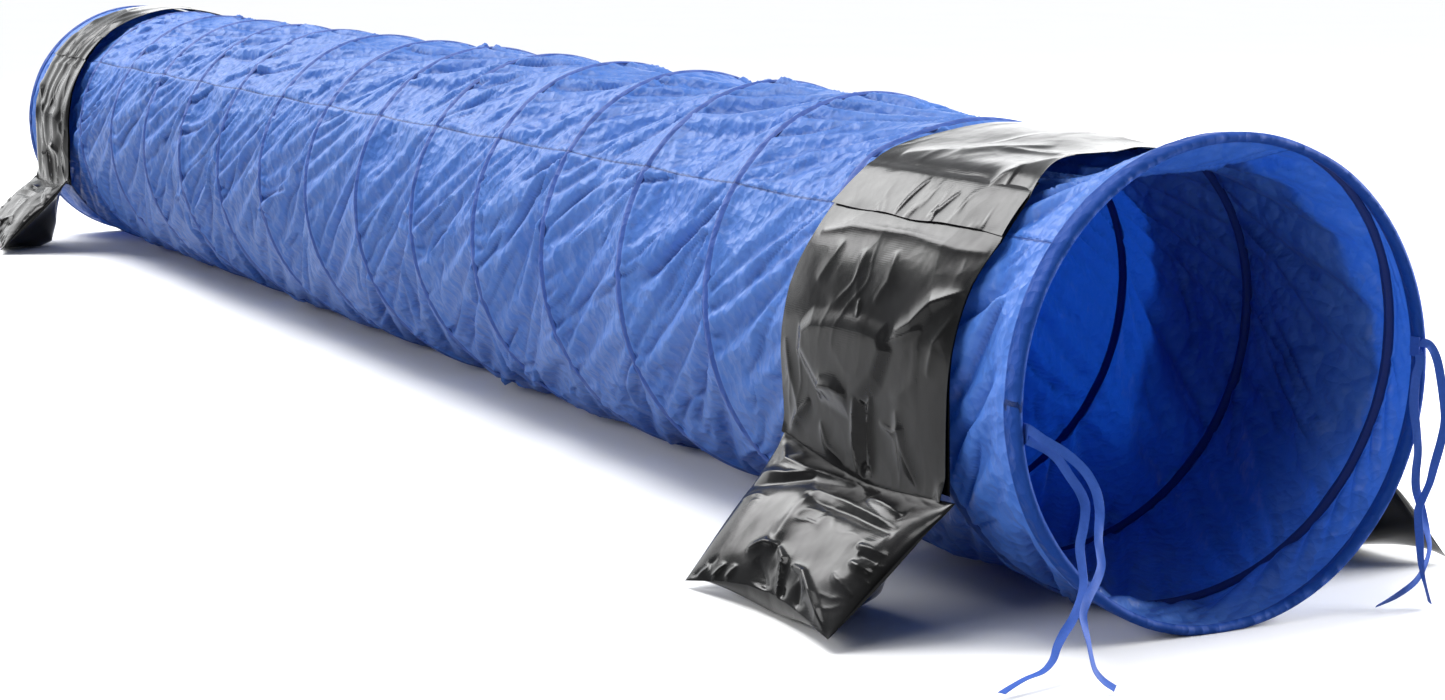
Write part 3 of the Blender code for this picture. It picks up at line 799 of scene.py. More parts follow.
def make_hem(end, material):
    """The cloth folded over the hoop at a mouth and stitched down, with small puckers."""
    bm = bmesh.new()
    section = [bm.verts.new(on_tube(t, 0.0, r)) for t, r in HEM_SECTION]
    edges = [bm.edges.new((a, b)) for a, b in zip(section, section[1:] + section[:1])]
    turn = {"cent": (0, 0, AXIS_Z), "axis": (1, 0, 0), "angle": math.tau, "steps": HEM_STEPS}
    bmesh.ops.spin(bm, geom=section + edges, use_merge=True, **turn)
    mesh = bpy.data.meshes.new(f"{end}_mouth_hem")
    bmesh.ops.recalc_face_normals(bm, faces=bm.faces)
    bm.to_mesh(mesh)
    bm.free()
    co = np.empty(len(mesh.vertices) * 3)
    mesh.vertices.foreach_get("co", co)
    co = co.reshape(-1, 3)
    t = MOUTH_X - co[:, 0]
    angle = np.arctan2(co[:, 2] - AXIS_Z, co[:, 1])
    radius = np.hypot(co[:, 1], co[:, 2] - AXIS_Z)
    round_m = angle * radius
    seed = 91 if end == "near" else 95
    out = 0.0007 * smooth_step(t, 0.010, 0.024) * (sharp_folds(t * 0.5, round_m, 0.05, 0.012, seed) - 0.3)
    out += 0.0006 * smooth_noise(round_m * 14, t * 20, seed + 3)
    radius = radius + out
    slide = 0.0009 * smooth_noise(round_m * 9, 0 * t, seed + 4) * smooth_step(t, 0.004, 0.02)
    x = MOUTH_X - (t + slide)
    co = np.stack([x, radius * np.cos(angle), AXIS_Z + radius * np.sin(angle)], axis=1)
    if end == "far":
        co[:, 0] = 2 * MOUTH_X - LENGTH - co[:, 0]
    co[:, 2] = np.maximum(co[:, 2], FLOOR_GAP)
    mesh.vertices.foreach_set("co", co.ravel())
    # The hem has no rib, no seam and no painted fold shade or highlight
    plain = {"rib": 0 * t + NO_RIB, "seam": 0 * t + 0.5, "fold_shading": 0 * t}
    store(mesh, {"hem": t, "round": angle * 0.3, "along": t, **plain})
    piece = link(mesh.name, mesh)
    if end == "far":
        mesh.flip_normals()
    mesh.materials.append(material)
    mesh.shade_smooth()
    stand_in(piece, f"{end}_hem", "tunnel" if end == "near" else "far_end")


def smooth_route(points, steps):
    """A smooth curve through given points."""
    ends = [2 * points[0] - points[1], *points, 2 * points[-1] - points[-2]]
    line = []
    for quad in zip(ends, ends[1:], ends[2:], ends[3:]):
        for i in range(steps):
            line.append(sum((k * p for k, p in zip(weights(i / steps), quad)), Vector()))
    return line + [points[-1]]


TIE_TURNS = {  # degrees at its tack and at its free end
    "left_tie_a": (0, 75),
    "left_tie_b": (10, -60),
    "right_tie_a": (0, 80),
    "right_tie_b": (15, -70),
}


def make_tie(name, route, material):
    """One tail of a ribbon, hanging from its tack to the floor with its own twist."""
    line = smooth_route([Vector(p) for p in route], RIBBON_STEPS)
    lengths = np.cumsum([0.0] + [(b - a).length for a, b in zip(line, line[1:])])
    first, last = TIE_TURNS[name]
    across = np.linspace(-0.5, 0.5, 7)
    rows = []
    for i, p in enumerate(line):
        along = (line[min(i + 1, len(line) - 1)] - line[max(i - 1, 0)]).normalized()
        if i == 0:
            along = Vector((1, 0, 0))
        wide = along.cross(RIBBON_FACING).normalized()
        thick = along.cross(wide)
        share = lengths[i] / lengths[-1]
        a = math.radians(first + (last - first) * share**1.5 + 14 * math.sin(share * 17 + last))
        wide, thick = wide * math.cos(a) + thick * math.sin(a), thick * math.cos(a) - wide * math.sin(a)
        curl = 0.0009 * math.sin(share * 31 + first)
        row = [p + wide * RIBBON_W * c + thick * curl * (1 - 4 * c * c) for c in across]
        rows.append([(q.x, q.y, max(q.z, 0.0016)) for q in row])
    run, width = np.meshgrid(lengths, across * RIBBON_W, indexing="ij")
    piece = grid_piece(name + "_ribbon", np.array(rows), material, {"run": run, "width": width})
    thicken(piece, RIBBON_T)
    stand_in(piece, name, "tunnel")


ARCH_SIDE = AXIS_Z - CREASE_Z  # the arch runs straight down from the axis to each fold


def arch_line(s, radius):
    """A place on the saddle's arch, s metres along it from its left fold, in (y, z)."""
    a = np.clip((s - ARCH_SIDE) / radius, 0, np.pi)
    before = np.minimum(s - ARCH_SIDE, 0)
    after = np.maximum(s - ARCH_SIDE - np.pi * radius, 0)
    return -radius * np.cos(a), AXIS_Z + radius * np.sin(a) + before - after


def arch_normal(s, radius):
    a = np.clip((s - ARCH_SIDE) / radius, 0, np.pi)
    return -np.cos(a), np.sin(a)


def s_at(degrees):
    """How far along the arch from its left fold an angle on the left side lies."""
    return ARCH_SIDE + math.radians(180 - degrees) * BAND_R


TOP_CREASES = [
    ([(-0.046, 0.322), (-0.040, 0.345), (-0.026, 0.382)], 0.0045, 0.0022),
    ([(0.030, 0.326), (0.048, 0.340), (0.066, 0.368)], 0.0045, 0.0020),
    ([(-0.215, 0.395), (-0.10, 0.388), (-0.049, 0.386), (0.088, 0.384)], 0.004, 0.0014),
    ([(-0.17, 0.42), (-0.05, 0.47), (0.05, 0.55)], 0.030, 0.0040),
    ([(0.10, 0.36), (0.15, 0.43), (0.21, 0.46)], 0.022, 0.0050),
    ([(-0.10, 0.62), (0.02, 0.66), (0.14, 0.72)], 0.040, 0.0040),
    ([(0.00, 0.50), (0.12, 0.52), (0.215, 0.50)], 0.012, 0.0030),
]


# Where the two edges of the near saddle lie, by the angle on its left side
SPAN_DEG = [60, 83, 103, 112, 125, 133, 145, 156, 166, 182, 215]
SPAN_NEAR = [0.150, 0.105, 0.160, 0.158, 0.183, 0.197, 0.203, 0.190, 0.186, 0.180, 0.183]
SPAN_FAR = [-0.185, -0.180, -0.185, -0.190, -0.185, -0.188, -0.200, -0.212, -0.225, -0.232, -0.216]

GATHERED = {"near": (1.0, 0.0), "far": (0.80, 0.042)}  # share of the width that is left, shift
PLEAT_W = 0.085
PLEAT_DEPTH = 0.030
BAND_LIFT = 0.011


def gathered(end, x):
    """Across a saddle: the far one has crept together towards the middle of the tunnel."""
    share, shift = GATHERED[end]
    return SADDLE_X[end] + x * share + shift


def pleats(end, x, s):
    """Folds that run down the far saddle, where its width has crept together."""
    wave = np.sin(2 * np.pi * x / PLEAT_W + 1.1 * smooth_noise(x * 9, s * 5, 141))
    deep = 0.75 + 0.25 * smooth_noise(x * 12, s * 4, 143)
    deep = deep * (1 - 0.8 * smooth_step(s, s_at(128), s_at(100)))
    return PLEAT_DEPTH * (1 - GATHERED[end][0]) * deep * (0.5 + 0.5 * wave)


def span_at(s, u, mirror=1):
    """Move a place across the saddle, from its even cut to where its two edges really lie."""
    degrees = 180 - np.degrees((s - ARCH_SIDE) / BAND_R)
    high = np.interp(degrees, SPAN_DEG, SPAN_NEAR)
    low = np.interp(degrees, SPAN_DEG, SPAN_FAR)
    share = u * mirror / SADDLE_W + 0.5
    return (low + (high - low) * share) * mirror


def flip_of(end, side):
    """1 where a sheet lies as in the photograph, -1 where it is the mirror image of that."""
    return -1 if (side == "right") != (end == "far") else 1


def sheet_grid(rows, columns=160, width=SADDLE_W):
    """Places down a sheet, and across its even cut."""
    return np.meshgrid(rows, np.linspace(-0.5, 0.5, columns) * width, indexing="ij")


def arch_points(end, side, x, s, out, radius, turn_radius=None):
    """Points of a sheet that lies on the saddle's arch, and stands out from it."""
    y, z = arch_line(s, radius)
    ny, nz = arch_normal(s, turn_radius or radius)
    points = np.stack([gathered(end, x), y + ny * out, z + nz * out], axis=-1)
    if side == "right":
        points[..., 1] *= -1
        points = points[:, ::-1]
    return points


def add_sheet(title, points, s, u, material, node, body, thickness=SHEET_T):
    """Make a sheet of a saddle from its points, with its places on the cut, in metres, kept for its
    material.
    """
    piece = grid_piece(title, points, material, {"run": s, "width": u})
    thicken(piece, thickness)
    stand_in(piece, node, body)


def make_band(end, material):
    """The tarpaulin band over the tunnel, from fold to fold."""
    total = 2 * ARCH_SIDE + np.pi * BAND_R
    s, u = sheet_grid(np.linspace(0.0, total, 300), columns=120)
    flip = flip_of(end, "left")
    low = np.minimum(s, total - s)
    out = creases(u * flip, s, TOP_CREASES)
    out += creases(u * flip, total - s, TOP_CREASES[:2])
    out += 0.0022 * (1 + smooth_noise(u * 9 + 3, s * 9, 101))
    out += 0.0012 * sharp_folds(s, u, 0.10, 0.03, 103)
    if end == "near":
        out += BAND_LIFT * (smooth_step(u, 0.13, 0.215) * bell(s - 0.47, 0.06))
    out = out * (smooth_step(s, s_at(150), s_at(132)) * smooth_step(total - s, s_at(150), s_at(132)))
    edge = 0.004 * smooth_noise(s * 11, 0 * s, 105) * (2 * np.abs(u) / SADDLE_W) ** 3 * np.sign(u)
    u = span_at(low, u, flip)
    out = out + pleats(end, u, low) * smooth_step(low, 0.0, 0.05)
    points = arch_points(end, "left", u + edge, s, out, BAND_R)
    if end == "near":
        points = seated(points)
    add_sheet(f"{end}_band_sheet", points, s, u, material, f"{end}_band", f"{end}_saddle")


PANEL_CREASES = [
    ([(-0.190, 0.046), (-0.120, 0.030), (0.020, 0.026), (0.130, 0.034), (0.195, 0.030)], 0.011, 0.0030),
    ([(-0.060, 0.055), (-0.052, 0.095), (-0.036, 0.125)], 0.012, 0.0016),
    ([(0.010, 0.050), (0.018, 0.090), (0.000, 0.120)], 0.012, 0.0018),
    ([(-0.120, 0.050), (-0.135, 0.085), (-0.150, 0.110)], 0.014, 0.0016),
    ([(-0.034, 0.118), (-0.031, 0.128), (-0.028, 0.140)], 0.004, 0.0026),
    ([(0.060, 0.148), (0.096, 0.132), (0.128, 0.104), (0.186, 0.082)], 0.011, 0.0060),
    ([(0.045, 0.160), (0.085, 0.150), (0.120, 0.135)], 0.007, 0.0026),
    ([(0.180, 0.110), (0.150, 0.150), (0.140, 0.190)], 0.010, 0.0026),
    ([(-0.126, 0.248), (-0.100, 0.236), (-0.070, 0.234), (-0.038, 0.240)], 0.011, 0.0085),
    ([(-0.020, 0.238), (-0.030, 0.265), (-0.030, 0.300), (-0.024, 0.335)], 0.006, 0.0060),
    ([(0.012, 0.232), (0.006, 0.270), (0.008, 0.310), (0.010, 0.335)], 0.007, 0.0065),
    ([(-0.006, 0.240), (-0.012, 0.275), (-0.010, 0.310), (-0.008, 0.340)], 0.010, -0.0090),
    ([(0.070, 0.240), (0.085, 0.285), (0.125, 0.335)], 0.012, 0.0036),
    ([(0.030, 0.262), (0.062, 0.268), (0.090, 0.262)], 0.006, 0.0024),
    ([(-0.214, 0.330), (-0.180, 0.290), (-0.145, 0.262)], 0.010, 0.0060),
    ([(-0.215, 0.190), (-0.196, 0.240), (-0.170, 0.290)], 0.012, 0.0030),
    ([(-0.120, 0.285), (-0.100, 0.315), (-0.060, 0.330)], 0.010, 0.0040),
]

PLATEAU = [
    (-0.172, 0.200),
    (-0.170, 0.172),
    (-0.138, 0.150),
    (-0.020, 0.140),
    (0.036, 0.146),
    (0.052, 0.172),
    (0.030, 0.212),
    (-0.006, 0.240),
    (-0.045, 0.262),
    (-0.110, 0.250),
]


def plateau(u, v):
    """The flat raised part in the middle of a pocket, with soft edges."""
    inside = np.full_like(u, np.inf)
    for (u0, v0), (u1, v1) in zip(PLATEAU, PLATEAU[1:] + PLATEAU[:1]):
        length = math.hypot(u1 - u0, v1 - v0)
        inside = np.minimum(inside, ((v - v0) * (u1 - u0) - (u - u0) * (v1 - v0)) / length)
    return 0.0065 * smooth_step(inside, -0.012, 0.016)


NECK = ([-0.22, -0.16, -0.08, 0.0, 0.05, 0.12, 0.22], [0.184, 0.172, 0.160, 0.153, 0.155, 0.160, 0.168])


def neck_z(u):
    """How high the fold between pocket and bag lies, across the saddle."""
    return np.interp(u, *NECK)


TUCK_DEG = 9.6  # the pocket's sheet goes on under the flap by this much
POCKET_BULGE = 0.006


def make_pocket(end, side, material):
    """The pocket's outer sheet, from the closure down to the fold above its bag."""
    slit_s = s_at(SLIT_DEG)
    top_s = s_at(SLIT_DEG - TUCK_DEG)
    share, u = sheet_grid(np.linspace(0, 1, 170))
    flip = flip_of(end, side)
    uu = u * flip
    edge = 2 * u / SADDLE_W
    low_edge = np.interp(uu / SADDLE_W, [-0.5, 0.5], [SPAN_FAR[-1], SPAN_NEAR[-1]])
    low_s = neck_z(low_edge) - CREASE_Z - 0.0015
    s = top_s + (low_s - top_s) * share
    down = slit_s - s
    out = creases(span_at(s, uu), down, PANEL_CREASES)
    hang = smooth_step(down, 0.02, 0.10)
    bulge = POCKET_BULGE * np.sin(np.pi * np.clip(down / 0.33, 0, 1)) * (1 - edge**4)
    out += bulge + hang * 0.0010 * (1 + smooth_noise(uu * 14, down * 14, 111))
    out += hang * 0.0012 * sharp_folds(down, uu, 0.08, 0.025, 113)
    out += plateau(span_at(s, uu), down)
    tucked = smooth_step(share, 0.93, 1.0)
    out = out * smooth_step(down, -0.005, 0.03) * (1 - 0.9 * tucked)
    ear = smooth_step(np.abs(edge), 0.86, 1.0) * smooth_step(down, 0.30, 0.34)
    out += 0.006 * ear + 0.0033 * tucked
    x = span_at(s, uu) * flip + 0.003 * smooth_noise(down * 12, 0 * u, 115) * edge**3
    out += pleats(end, x, s) * (1 - 0.9 * tucked)
    points = arch_points(end, side, x, s, out, PANEL_R)
    title = f"{end}_{side}_pocket_sheet"
    add_sheet(title, points, s, u, material, f"{end}_{side}_pocket", f"{end}_saddle")


def make_flap(end, side, material):
    """The flap that closes the pocket, sewn along its upper edge."""
    s_top = s_at(SLIT_DEG - 14.5)
    s_low = s_at(SLIT_DEG + 1.2)
    share, u = sheet_grid(np.linspace(0, 1, 26))
    s = s_top + (s_low - s_top + 0.0022 * smooth_noise(u * 13, 0 * u, 127)) * share
    flip = flip_of(end, side)
    uu = u * flip
    rise = (FLAP_R - BAND_R - 0.0010) * smooth_step(share, 0.0, 0.22)
    out = rise + 0.0010 * (1 + smooth_noise(uu * 12, s * 12, 121)) * share
    out += creases(uu, s, TOP_CREASES[:2]) * 0.9 + 0.0012 * sharp_folds(s, uu, 0.06, 0.02, 123) * share
    out += 0.0012 * (smooth_noise(u * 16, 0 * u, 129) + 0.2) * smooth_step(share, 0.80, 1.0)
    x = span_at(s, uu) * flip + 0.0015 * smooth_noise(s * 12, 0 * u, 125) * np.sign(u)
    out += pleats(end, x, s)
    points = arch_points(end, side, x, s, out, BAND_R + 0.0010, BAND_R)
    flap = f"{end}_{side}_flap"
    add_sheet(f"{end}_{side}_closure_flap", points, s, u, material, flap, flap)


CLOSURES = {"loop_tape": (0.30605, "saddle"), "hook_tape": (0.30640, "{side}_flap")}
CLOSURE_T = 0.0003
CLOSURE_MARGIN = 0.012


def make_closure(end, side, kind, material):
    """One half of the hook and loop strip under a flap."""
    radius, body = CLOSURES[kind]
    heights = [corner.z - AXIS_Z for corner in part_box(f"{end}_{side}_{kind}")]
    ends = [s_at(180 - math.degrees(math.asin(height / BAND_R))) for height in heights]
    width = SADDLE_W - 2 * CLOSURE_MARGIN
    s, u = sheet_grid(np.linspace(*ends, 9), columns=120, width=width)
    flip = flip_of(end, side)
    x = span_at(s, u * flip) * flip
    points = arch_points(end, side, x, s, pleats(end, x, s), radius)
    node = f"{end}_{side}_{kind}"
    body = f"{end}_{body.format(side=side)}"
    add_sheet(f"{node}_strip", points, s, u, material, node, body, CLOSURE_T)


BAG_CREASES = [
    ([(-0.200, 0.010), (-0.160, 0.030), (-0.100, 0.028), (-0.040, 0.016), (0.010, 0.008)], 0.010, 0.0080),
    ([(-0.214, 0.085), (-0.159, 0.075), (-0.120, 0.062), (-0.070, 0.036)], 0.014, -0.0050),
    ([(-0.190, 0.060), (-0.130, 0.050), (-0.080, 0.030)], 0.010, 0.0060),
    ([(-0.056, 0.063), (-0.020, 0.071), (0.061, 0.070), (0.168, 0.075)], 0.012, -0.0065),
    ([(0.050, 0.030), (0.105, 0.036), (0.150, 0.044)], 0.012, 0.0085),
    ([(-0.045, 0.052), (0.030, 0.052), (0.110, 0.060), (0.165, 0.066)], 0.007, 0.0035),
    ([(-0.043, 0.045), (-0.045, 0.091), (-0.037, 0.140)], 0.022, 0.0035),
    ([(-0.080, 0.165), (-0.050, 0.148), (-0.020, 0.145)], 0.008, 0.0075),
    ([(-0.020, 0.145), (0.010, 0.158), (0.040, 0.208)], 0.006, 0.0075),
    ([(-0.050, 0.170), (-0.015, 0.188), (0.010, 0.205)], 0.011, -0.0055),
    ([(0.015, 0.168), (0.035, 0.190), (0.052, 0.210)], 0.009, -0.0050),
    ([(0.032, 0.160), (0.066, 0.163), (0.112, 0.186), (0.182, 0.222)], 0.007, 0.0075),
    ([(0.070, 0.175), (0.085, 0.195), (0.092, 0.212)], 0.010, -0.0040),
    ([(0.125, 0.105), (0.183, 0.102)], 0.006, 0.0040),
    ([(0.135, 0.128), (0.183, 0.130)], 0.006, 0.0038),
    ([(0.120, 0.150), (0.180, 0.165)], 0.006, 0.0034),
    ([(0.140, 0.115), (0.180, 0.116)], 0.006, -0.0030),
    ([(-0.150, 0.225), (-0.140, 0.200)], 0.006, 0.0030),
    ([(-0.120, 0.222), (-0.105, 0.192)], 0.006, 0.0032),
    ([(-0.090, 0.216), (-0.080, 0.188)], 0.006, 0.0030),
    ([(-0.165, 0.230), (-0.130, 0.190)], 0.008, -0.0026),
]

# The bag's section, in (y, z), and how far its outer edge reaches across the saddle
BAG_EDGE = (
    [-0.171, -0.130, -0.090, -0.040, 0.014, 0.079, 0.130, 0.190],
    [0.233, 0.222, 0.214, 0.205, 0.202, 0.207, 0.214, 0.223],
)
BAG_NECK = (0.3085, 0.1710)
BAG_SEAM = (0.4750, 0.0120)
BAG_BACK = [
    (0.4560, 0.0025),
    (0.3500, 0.0010),
    (0.3180, 0.0120),
    (0.3045, 0.0600),
    (0.3015, 0.1200),
    (0.3005, 0.1640),
]
BAG_CROWN = 0.016
BAG_TOP_POINTS = 110
BAG_BACK_POINTS = 50
BAG_COLUMNS = 150
SAND_SHARE = 0.74  # size of the sand's section beside the bag's
SAND_DEPTH = 0.010  # how far the sand lies below the bag's flat top


def pillow(end, side, inset):
    """Points of a bag, or of the sand in it: the top sheet, then the back towards the floor."""
    flip = flip_of(end, side)
    a_line = np.sin(np.linspace(-0.5, 0.5, BAG_COLUMNS) * np.pi)
    neck, seam = np.array(BAG_NECK), np.array(BAG_SEAM)
    slope = seam - neck
    length = float(np.hypot(*slope))
    normal = np.array([-slope[1], slope[0]]) / length
    back = np.array([BAG_SEAM, *BAG_BACK, BAG_NECK])
    back_run = np.concatenate([[0], np.cumsum(np.hypot(*np.diff(back, axis=0).T))])
    back_share = np.linspace(0, 1, BAG_BACK_POINTS + 1)[1:]
    back_y, back_z = (np.interp(back_share * back_run[-1], back_run, back[:, i]) for i in (0, 1))

    def place(a, b):
        """Across the saddle and down the slope, where the outline narrows towards the outer seam."""
        u = a * np.where(a * flip > 0, 0.205 - 0.018 * b, 0.210 - 0.038 * b)
        reach = 1 + (np.interp(u * flip, *BAG_EDGE) / length - 1) * b
        return u, b * reach

    a, b = np.meshgrid(a_line, np.linspace(0, 1, BAG_TOP_POINTS), indexing="ij")
    u, gone = place(a, b)
    down = gone * length
    pinch = np.clip(1 - np.abs(a) ** 6, 0, 1) ** 0.5
    if inset:
        out = -SAND_DEPTH * pinch
    else:
        crown = BAG_CROWN * np.sin(np.pi * np.clip(b, 0, 1) ** 0.9) ** 0.7 * pinch
        folds = creases(u * flip, down, BAG_CREASES) + 0.0010 * smooth_noise(u * 22, down * 22, 131)
        folds = folds + 0.0012 * sharp_folds(u, down, 0.06, 0.02, 133)
        out = crown + folds * (smooth_step(b, 0.0, 0.10) * smooth_step(1 - b, 0.0, 0.05) * pinch)
    y = neck[0] + slope[0] * gone + normal[0] * out
    z = neck[1] + slope[1] * gone + normal[1] * out
    z = z + (neck_z(u * flip) - BAG_NECK[1]) * (1 - smooth_step(b, 0.0, 0.35))
    y = y + 0.004 * smooth_step(np.abs(a), 0.90, 1.0) * (1 - smooth_step(b, 0.0, 0.10))
    top = np.stack([u, y, np.maximum(z, 0.0030)], axis=-1)

    a2, k = np.meshgrid(a_line, np.arange(BAG_BACK_POINTS), indexing="ij")
    by, bz = back_y[k], back_z[k]
    share = np.clip(((by - neck[0]) * slope[0] + (bz - neck[1]) * slope[1]) / length**2, 0, 1)
    u2, gone2 = place(a2, share)
    mid_y = neck[0] + slope[0] * gone2
    mid_z = neck[1] + slope[1] * gone2
    full = np.clip(1 - a2 * a2, 0, 1) ** 1.7 * 0.97 + 0.03
    if inset:
        full = full * 0.88
    sunk_y = neck[0] + (by - neck[0]) * np.where(share > 0.5, gone2 / np.maximum(share, 1e-6), 1)
    drop = (neck_z(u2 * flip) - BAG_NECK[1]) * (1 - smooth_step(share, 0.0, 0.25))
    low = mid_z + (bz - mid_z) * full + drop
    under = np.stack([u2, mid_y + (sunk_y - mid_y) * full, np.maximum(low, 0.0012)], axis=-1)

    points = np.concatenate([top, under], axis=1)
    points[:, -1] = points[:, 0]
    if inset:
        middle = points.mean(axis=1, keepdims=True)
        points[..., 1:] = middle[..., 1:] + (points - middle)[..., 1:] * SAND_SHARE
        points[..., 0] *= SAND_SHARE
    points[..., 0] = gathered(end, points[..., 0])
    run = np.concatenate([down, np.broadcast_to(length + back_share * back_run[-1], a2.shape)], axis=1)
    width = np.concatenate([u, u2], axis=1)
    if side == "left":
        points[..., 1] *= -1
        points, run, width = points[::-1], run[::-1], width[::-1]
    return points, {"run": run, "width": width}


def make_bag(end, side, material, filling):
    """A bag of sand as a pillow. Its neck follows the fold above it, and its sand lies inside it."""
    points, values = pillow(end, side, inset=False)
    bag = grid_piece(f"{end}_{side}_sand_bag", points, material, values)
    close_section(bag)
    stand_in(bag, f"{end}_{side}_bag")
    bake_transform(bag)
    points, _ = pillow(end, side, inset=True)
    grains = grid_piece(f"{end}_{side}_sand_filling", points[::5, ::4], filling)
    close_section(grains)
    stand_in(grains, f"{end}_{side}_sand", f"{end}_{side}_bag")


STITCHES = 330.0  # of the stitches' wave, per metre


def cloth_finish(name, lit, shade, dark, through, gloss):
    """Thin crinkled polyester: soft sheen, light passing through, stitches by its ribs and seams. Painted
    shade darkens it over the ribs' tape and in the valleys of its folds, and a painted highlight lightens
    the ridges of its folds.
    """
    f = Finish(name)
    rib, seam, hem = f.value("rib"), f.value("seam"), f.value("hem")
    round_m, along, fold_shading = f.value("round"), f.value("along"), f.value("fold_shading")
    sheet = f.flat_place(round_m, along)
    small = f.noise(sheet, 45.0, detail=5.0, roughness=0.6)
    # Over the ribs, where the casing tape lies behind the cloth: less light passes through there, and the
    # colour is also darkened there as painted shade
    tape_and_its_shade = within(rib, 0.0085, 900.0)
    hemmed = within(hem, 0.0275, 900.0)
    sewn = within(seam, 0.0009, 1400.0)
    dash_round = (round_m * STITCHES).sine() * 0.5 + 0.5
    dash_along = (along * STITCHES).sine() * 0.5 + 0.5
    stitches = line_at(rib, STITCH_OFF, 1600.0) * dash_round + line_at(seam, 0.0020, 1500.0) * dash_along
    stitches = stitches + line_at(hem, 0.0235, 1600.0) * dash_round
    thread = tuple(0.5 * c for c in dark)
    layers = (
        # painted shade over the ribs, for the light that the tape behind holds back
        (tape_and_its_shade * 0.85, dark),
        # painted shade in the valleys of the folds
        ((fold_shading * 0.75).clamped(), dark),
        # painted highlight on the ridges of the folds
        ((fold_shading * -0.30).clamped(), tuple(1.15 * c for c in lit)),
        (hemmed * 0.9, dark),
        (stitches.clamped() * 0.55, thread),
        (sewn * 0.7, thread),
    )
    colour = f.noise(sheet, 6.0, detail=4.0) * 0.55 + small * 0.45
    colour = f.ramp(colour, (0.30, shade), (0.72, lit))
    for mask, tint in layers:
        colour = f.blend(mask, colour, tint)
    height = f.creased(sheet, 24.0) + f.creased(sheet, 62.0) * 0.4
    height = height + f.noise(sheet, 14.0, roughness=0.6) * 1.1 - stitches * 0.12
    normal = f.bump(height, 0.0085, 0.8)
    body = f.principled(
        Base_Color=colour,
        Roughness=small * 0.18 + tape_and_its_shade * 0.2 + hemmed * 0.2 + 0.34,
        Normal=normal,
        Sheen_Weight=0.06,
        Sheen_Roughness=0.35,
        Sheen_Tint=(0.80, 0.85, 1.0, 1.0),
        Specular_IOR_Level=gloss,
    )
    glow = f.node("ShaderNodeBsdfTranslucent", Normal=normal, Color=(*through, 1.0)).outputs[0]
    mix = f.node("ShaderNodeMixShader")
    share = (1 - tape_and_its_shade * 0.7) * (1 - hemmed * 0.6) * 0.38
    for place, value in zip(mix.inputs, (share, body, glow)):
        put(f.tree, place, value)
    return f.surface(mix.outputs[0])


def tape_finish(name, colour, dark):
    """Woven tape or ribbon: fine ribs across it, selvages and fuzz."""
    f = Finish(name)
    run, width = f.value("run" if name == "ribbon" else "round"), f.value("width")
    ribs = (run * 5200.0).sine() * 0.5 + 0.5
    fuzz = f.noise(f.place(), 260.0, detail=4.0)
    edge = ((abs(width) - 0.0042) * 900.0).clamped()
    tint = f.ramp(fuzz * 0.6 + ribs * 0.4, (0.25, dark), (0.75, colour))
    body = f.principled(
        Base_Color=f.blend(edge * 0.25, tint, dark),
        Roughness=fuzz * 0.2 + 0.5,
        Normal=f.bump(ribs * 0.5 + fuzz * 0.6, 0.00025, 0.6),
        Sheen_Weight=0.05,
        Specular_IOR_Level=0.25,
    )
    return f.surface(body)


def tarpaulin_finish():
    """Glossy black coated sheet with the fine ribs of its scrim showing."""
    f = Finish("tarpaulin")
    run, width = f.value("run"), f.value("width")
    place = f.place()
    cloud = f.noise(place, 14.0, detail=5.0)
    smear = f.noise(place, 60.0, detail=4.0)
    weave = (run * 2200.0).sine() * 0.6 + (width * 1900.0).sine() * 0.35
    shown = ((cloud - 0.42) * 5.0).clamped()
    dents = f.creased(f.flat_place(width, run), 13.0) + f.noise(place, 22.0, detail=2.0) * 0.7
    body = f.principled(
        Base_Color=f.ramp(cloud, (0.3, (0.004, 0.004, 0.004)), (0.75, (0.010, 0.010, 0.011))),
        Roughness=smear * 0.12 + cloud * 0.10 + 0.08,
        Normal=f.bump(weave * shown, 0.00010, 0.30, f.bump(dents, 0.0050, 0.18)),
        IOR=1.50,
        Specular_IOR_Level=0.15,
    )
    return f.surface(body)


def plain_finish(name, colour, rough, metallic, grain, depth):
    """A plain material with a fine grain of its own."""
    f = Finish(name)
    dots = f.noise(f.place(), grain, detail=4.0)
    body = f.principled(
        Base_Color=f.ramp(dots, (0.3, tuple(0.75 * c for c in colour)), (0.7, colour)),
        Roughness=dots * 0.2 + rough - 0.1,
        Normal=f.bump(dots, depth, 0.5),
        Metallic=metallic,
    )
    return f.surface(body)


def make_camera():
    lens = bpy.data.cameras.new("photo_camera")
    lens.sensor_width = SENSOR_MM
    lens.lens = FOCAL_PX / PHOTO_PX[0] * SENSOR_MM
    lens.clip_end = 500
    flat = math.cos(CAMERA_ELEVATION)
    back = (math.sin(CAMERA_AZIMUTH) * flat, -math.cos(CAMERA_AZIMUTH) * flat, math.sin(CAMERA_ELEVATION))
    camera = link("photo_camera", lens)
    camera.location = CAMERA_AT
    camera.rotation_euler = Vector(back).to_track_quat("Z", "Y").to_euler()
    bpy.context.scene.camera = camera


SKY_COLOUR = (0.94, 0.97, 1.0, 1.0)
SUN_FROM = (-0.22, -0.20, 0.95)
SUN_STRENGTH = 2.3
SUN_SPREAD = math.radians(32)
LAMPS = {  # place, aim, size, watts
    "highlight_box": ((-4.75, -1.8, 4.4), (2.0, -0.2, 0.4), (3.0, 3.2), 280),
    "behind": ((-5.0, 4.0, 1.9), (2.0, 0, 0.5), (7.0, 3.6), 165),
    "front": ((3.0, -4.4, 2.1), (2.2, 0, 0.3), (2.2, 1.6), 86),
    "left_side": ((1.5, -4.8, 2.1), (1.6, 0, 0.4), (3.4, 1.8), 22),
    "right_side": ((2.9, 3.0, 1.3), (2.25, 0.3, 0.35), (2.0, 1.6), 190),
    "far_box": ((-8.0, -1.9, 1.9), (-2.0, -0.2, 0.3), (4.0, 2.6), 66),
}


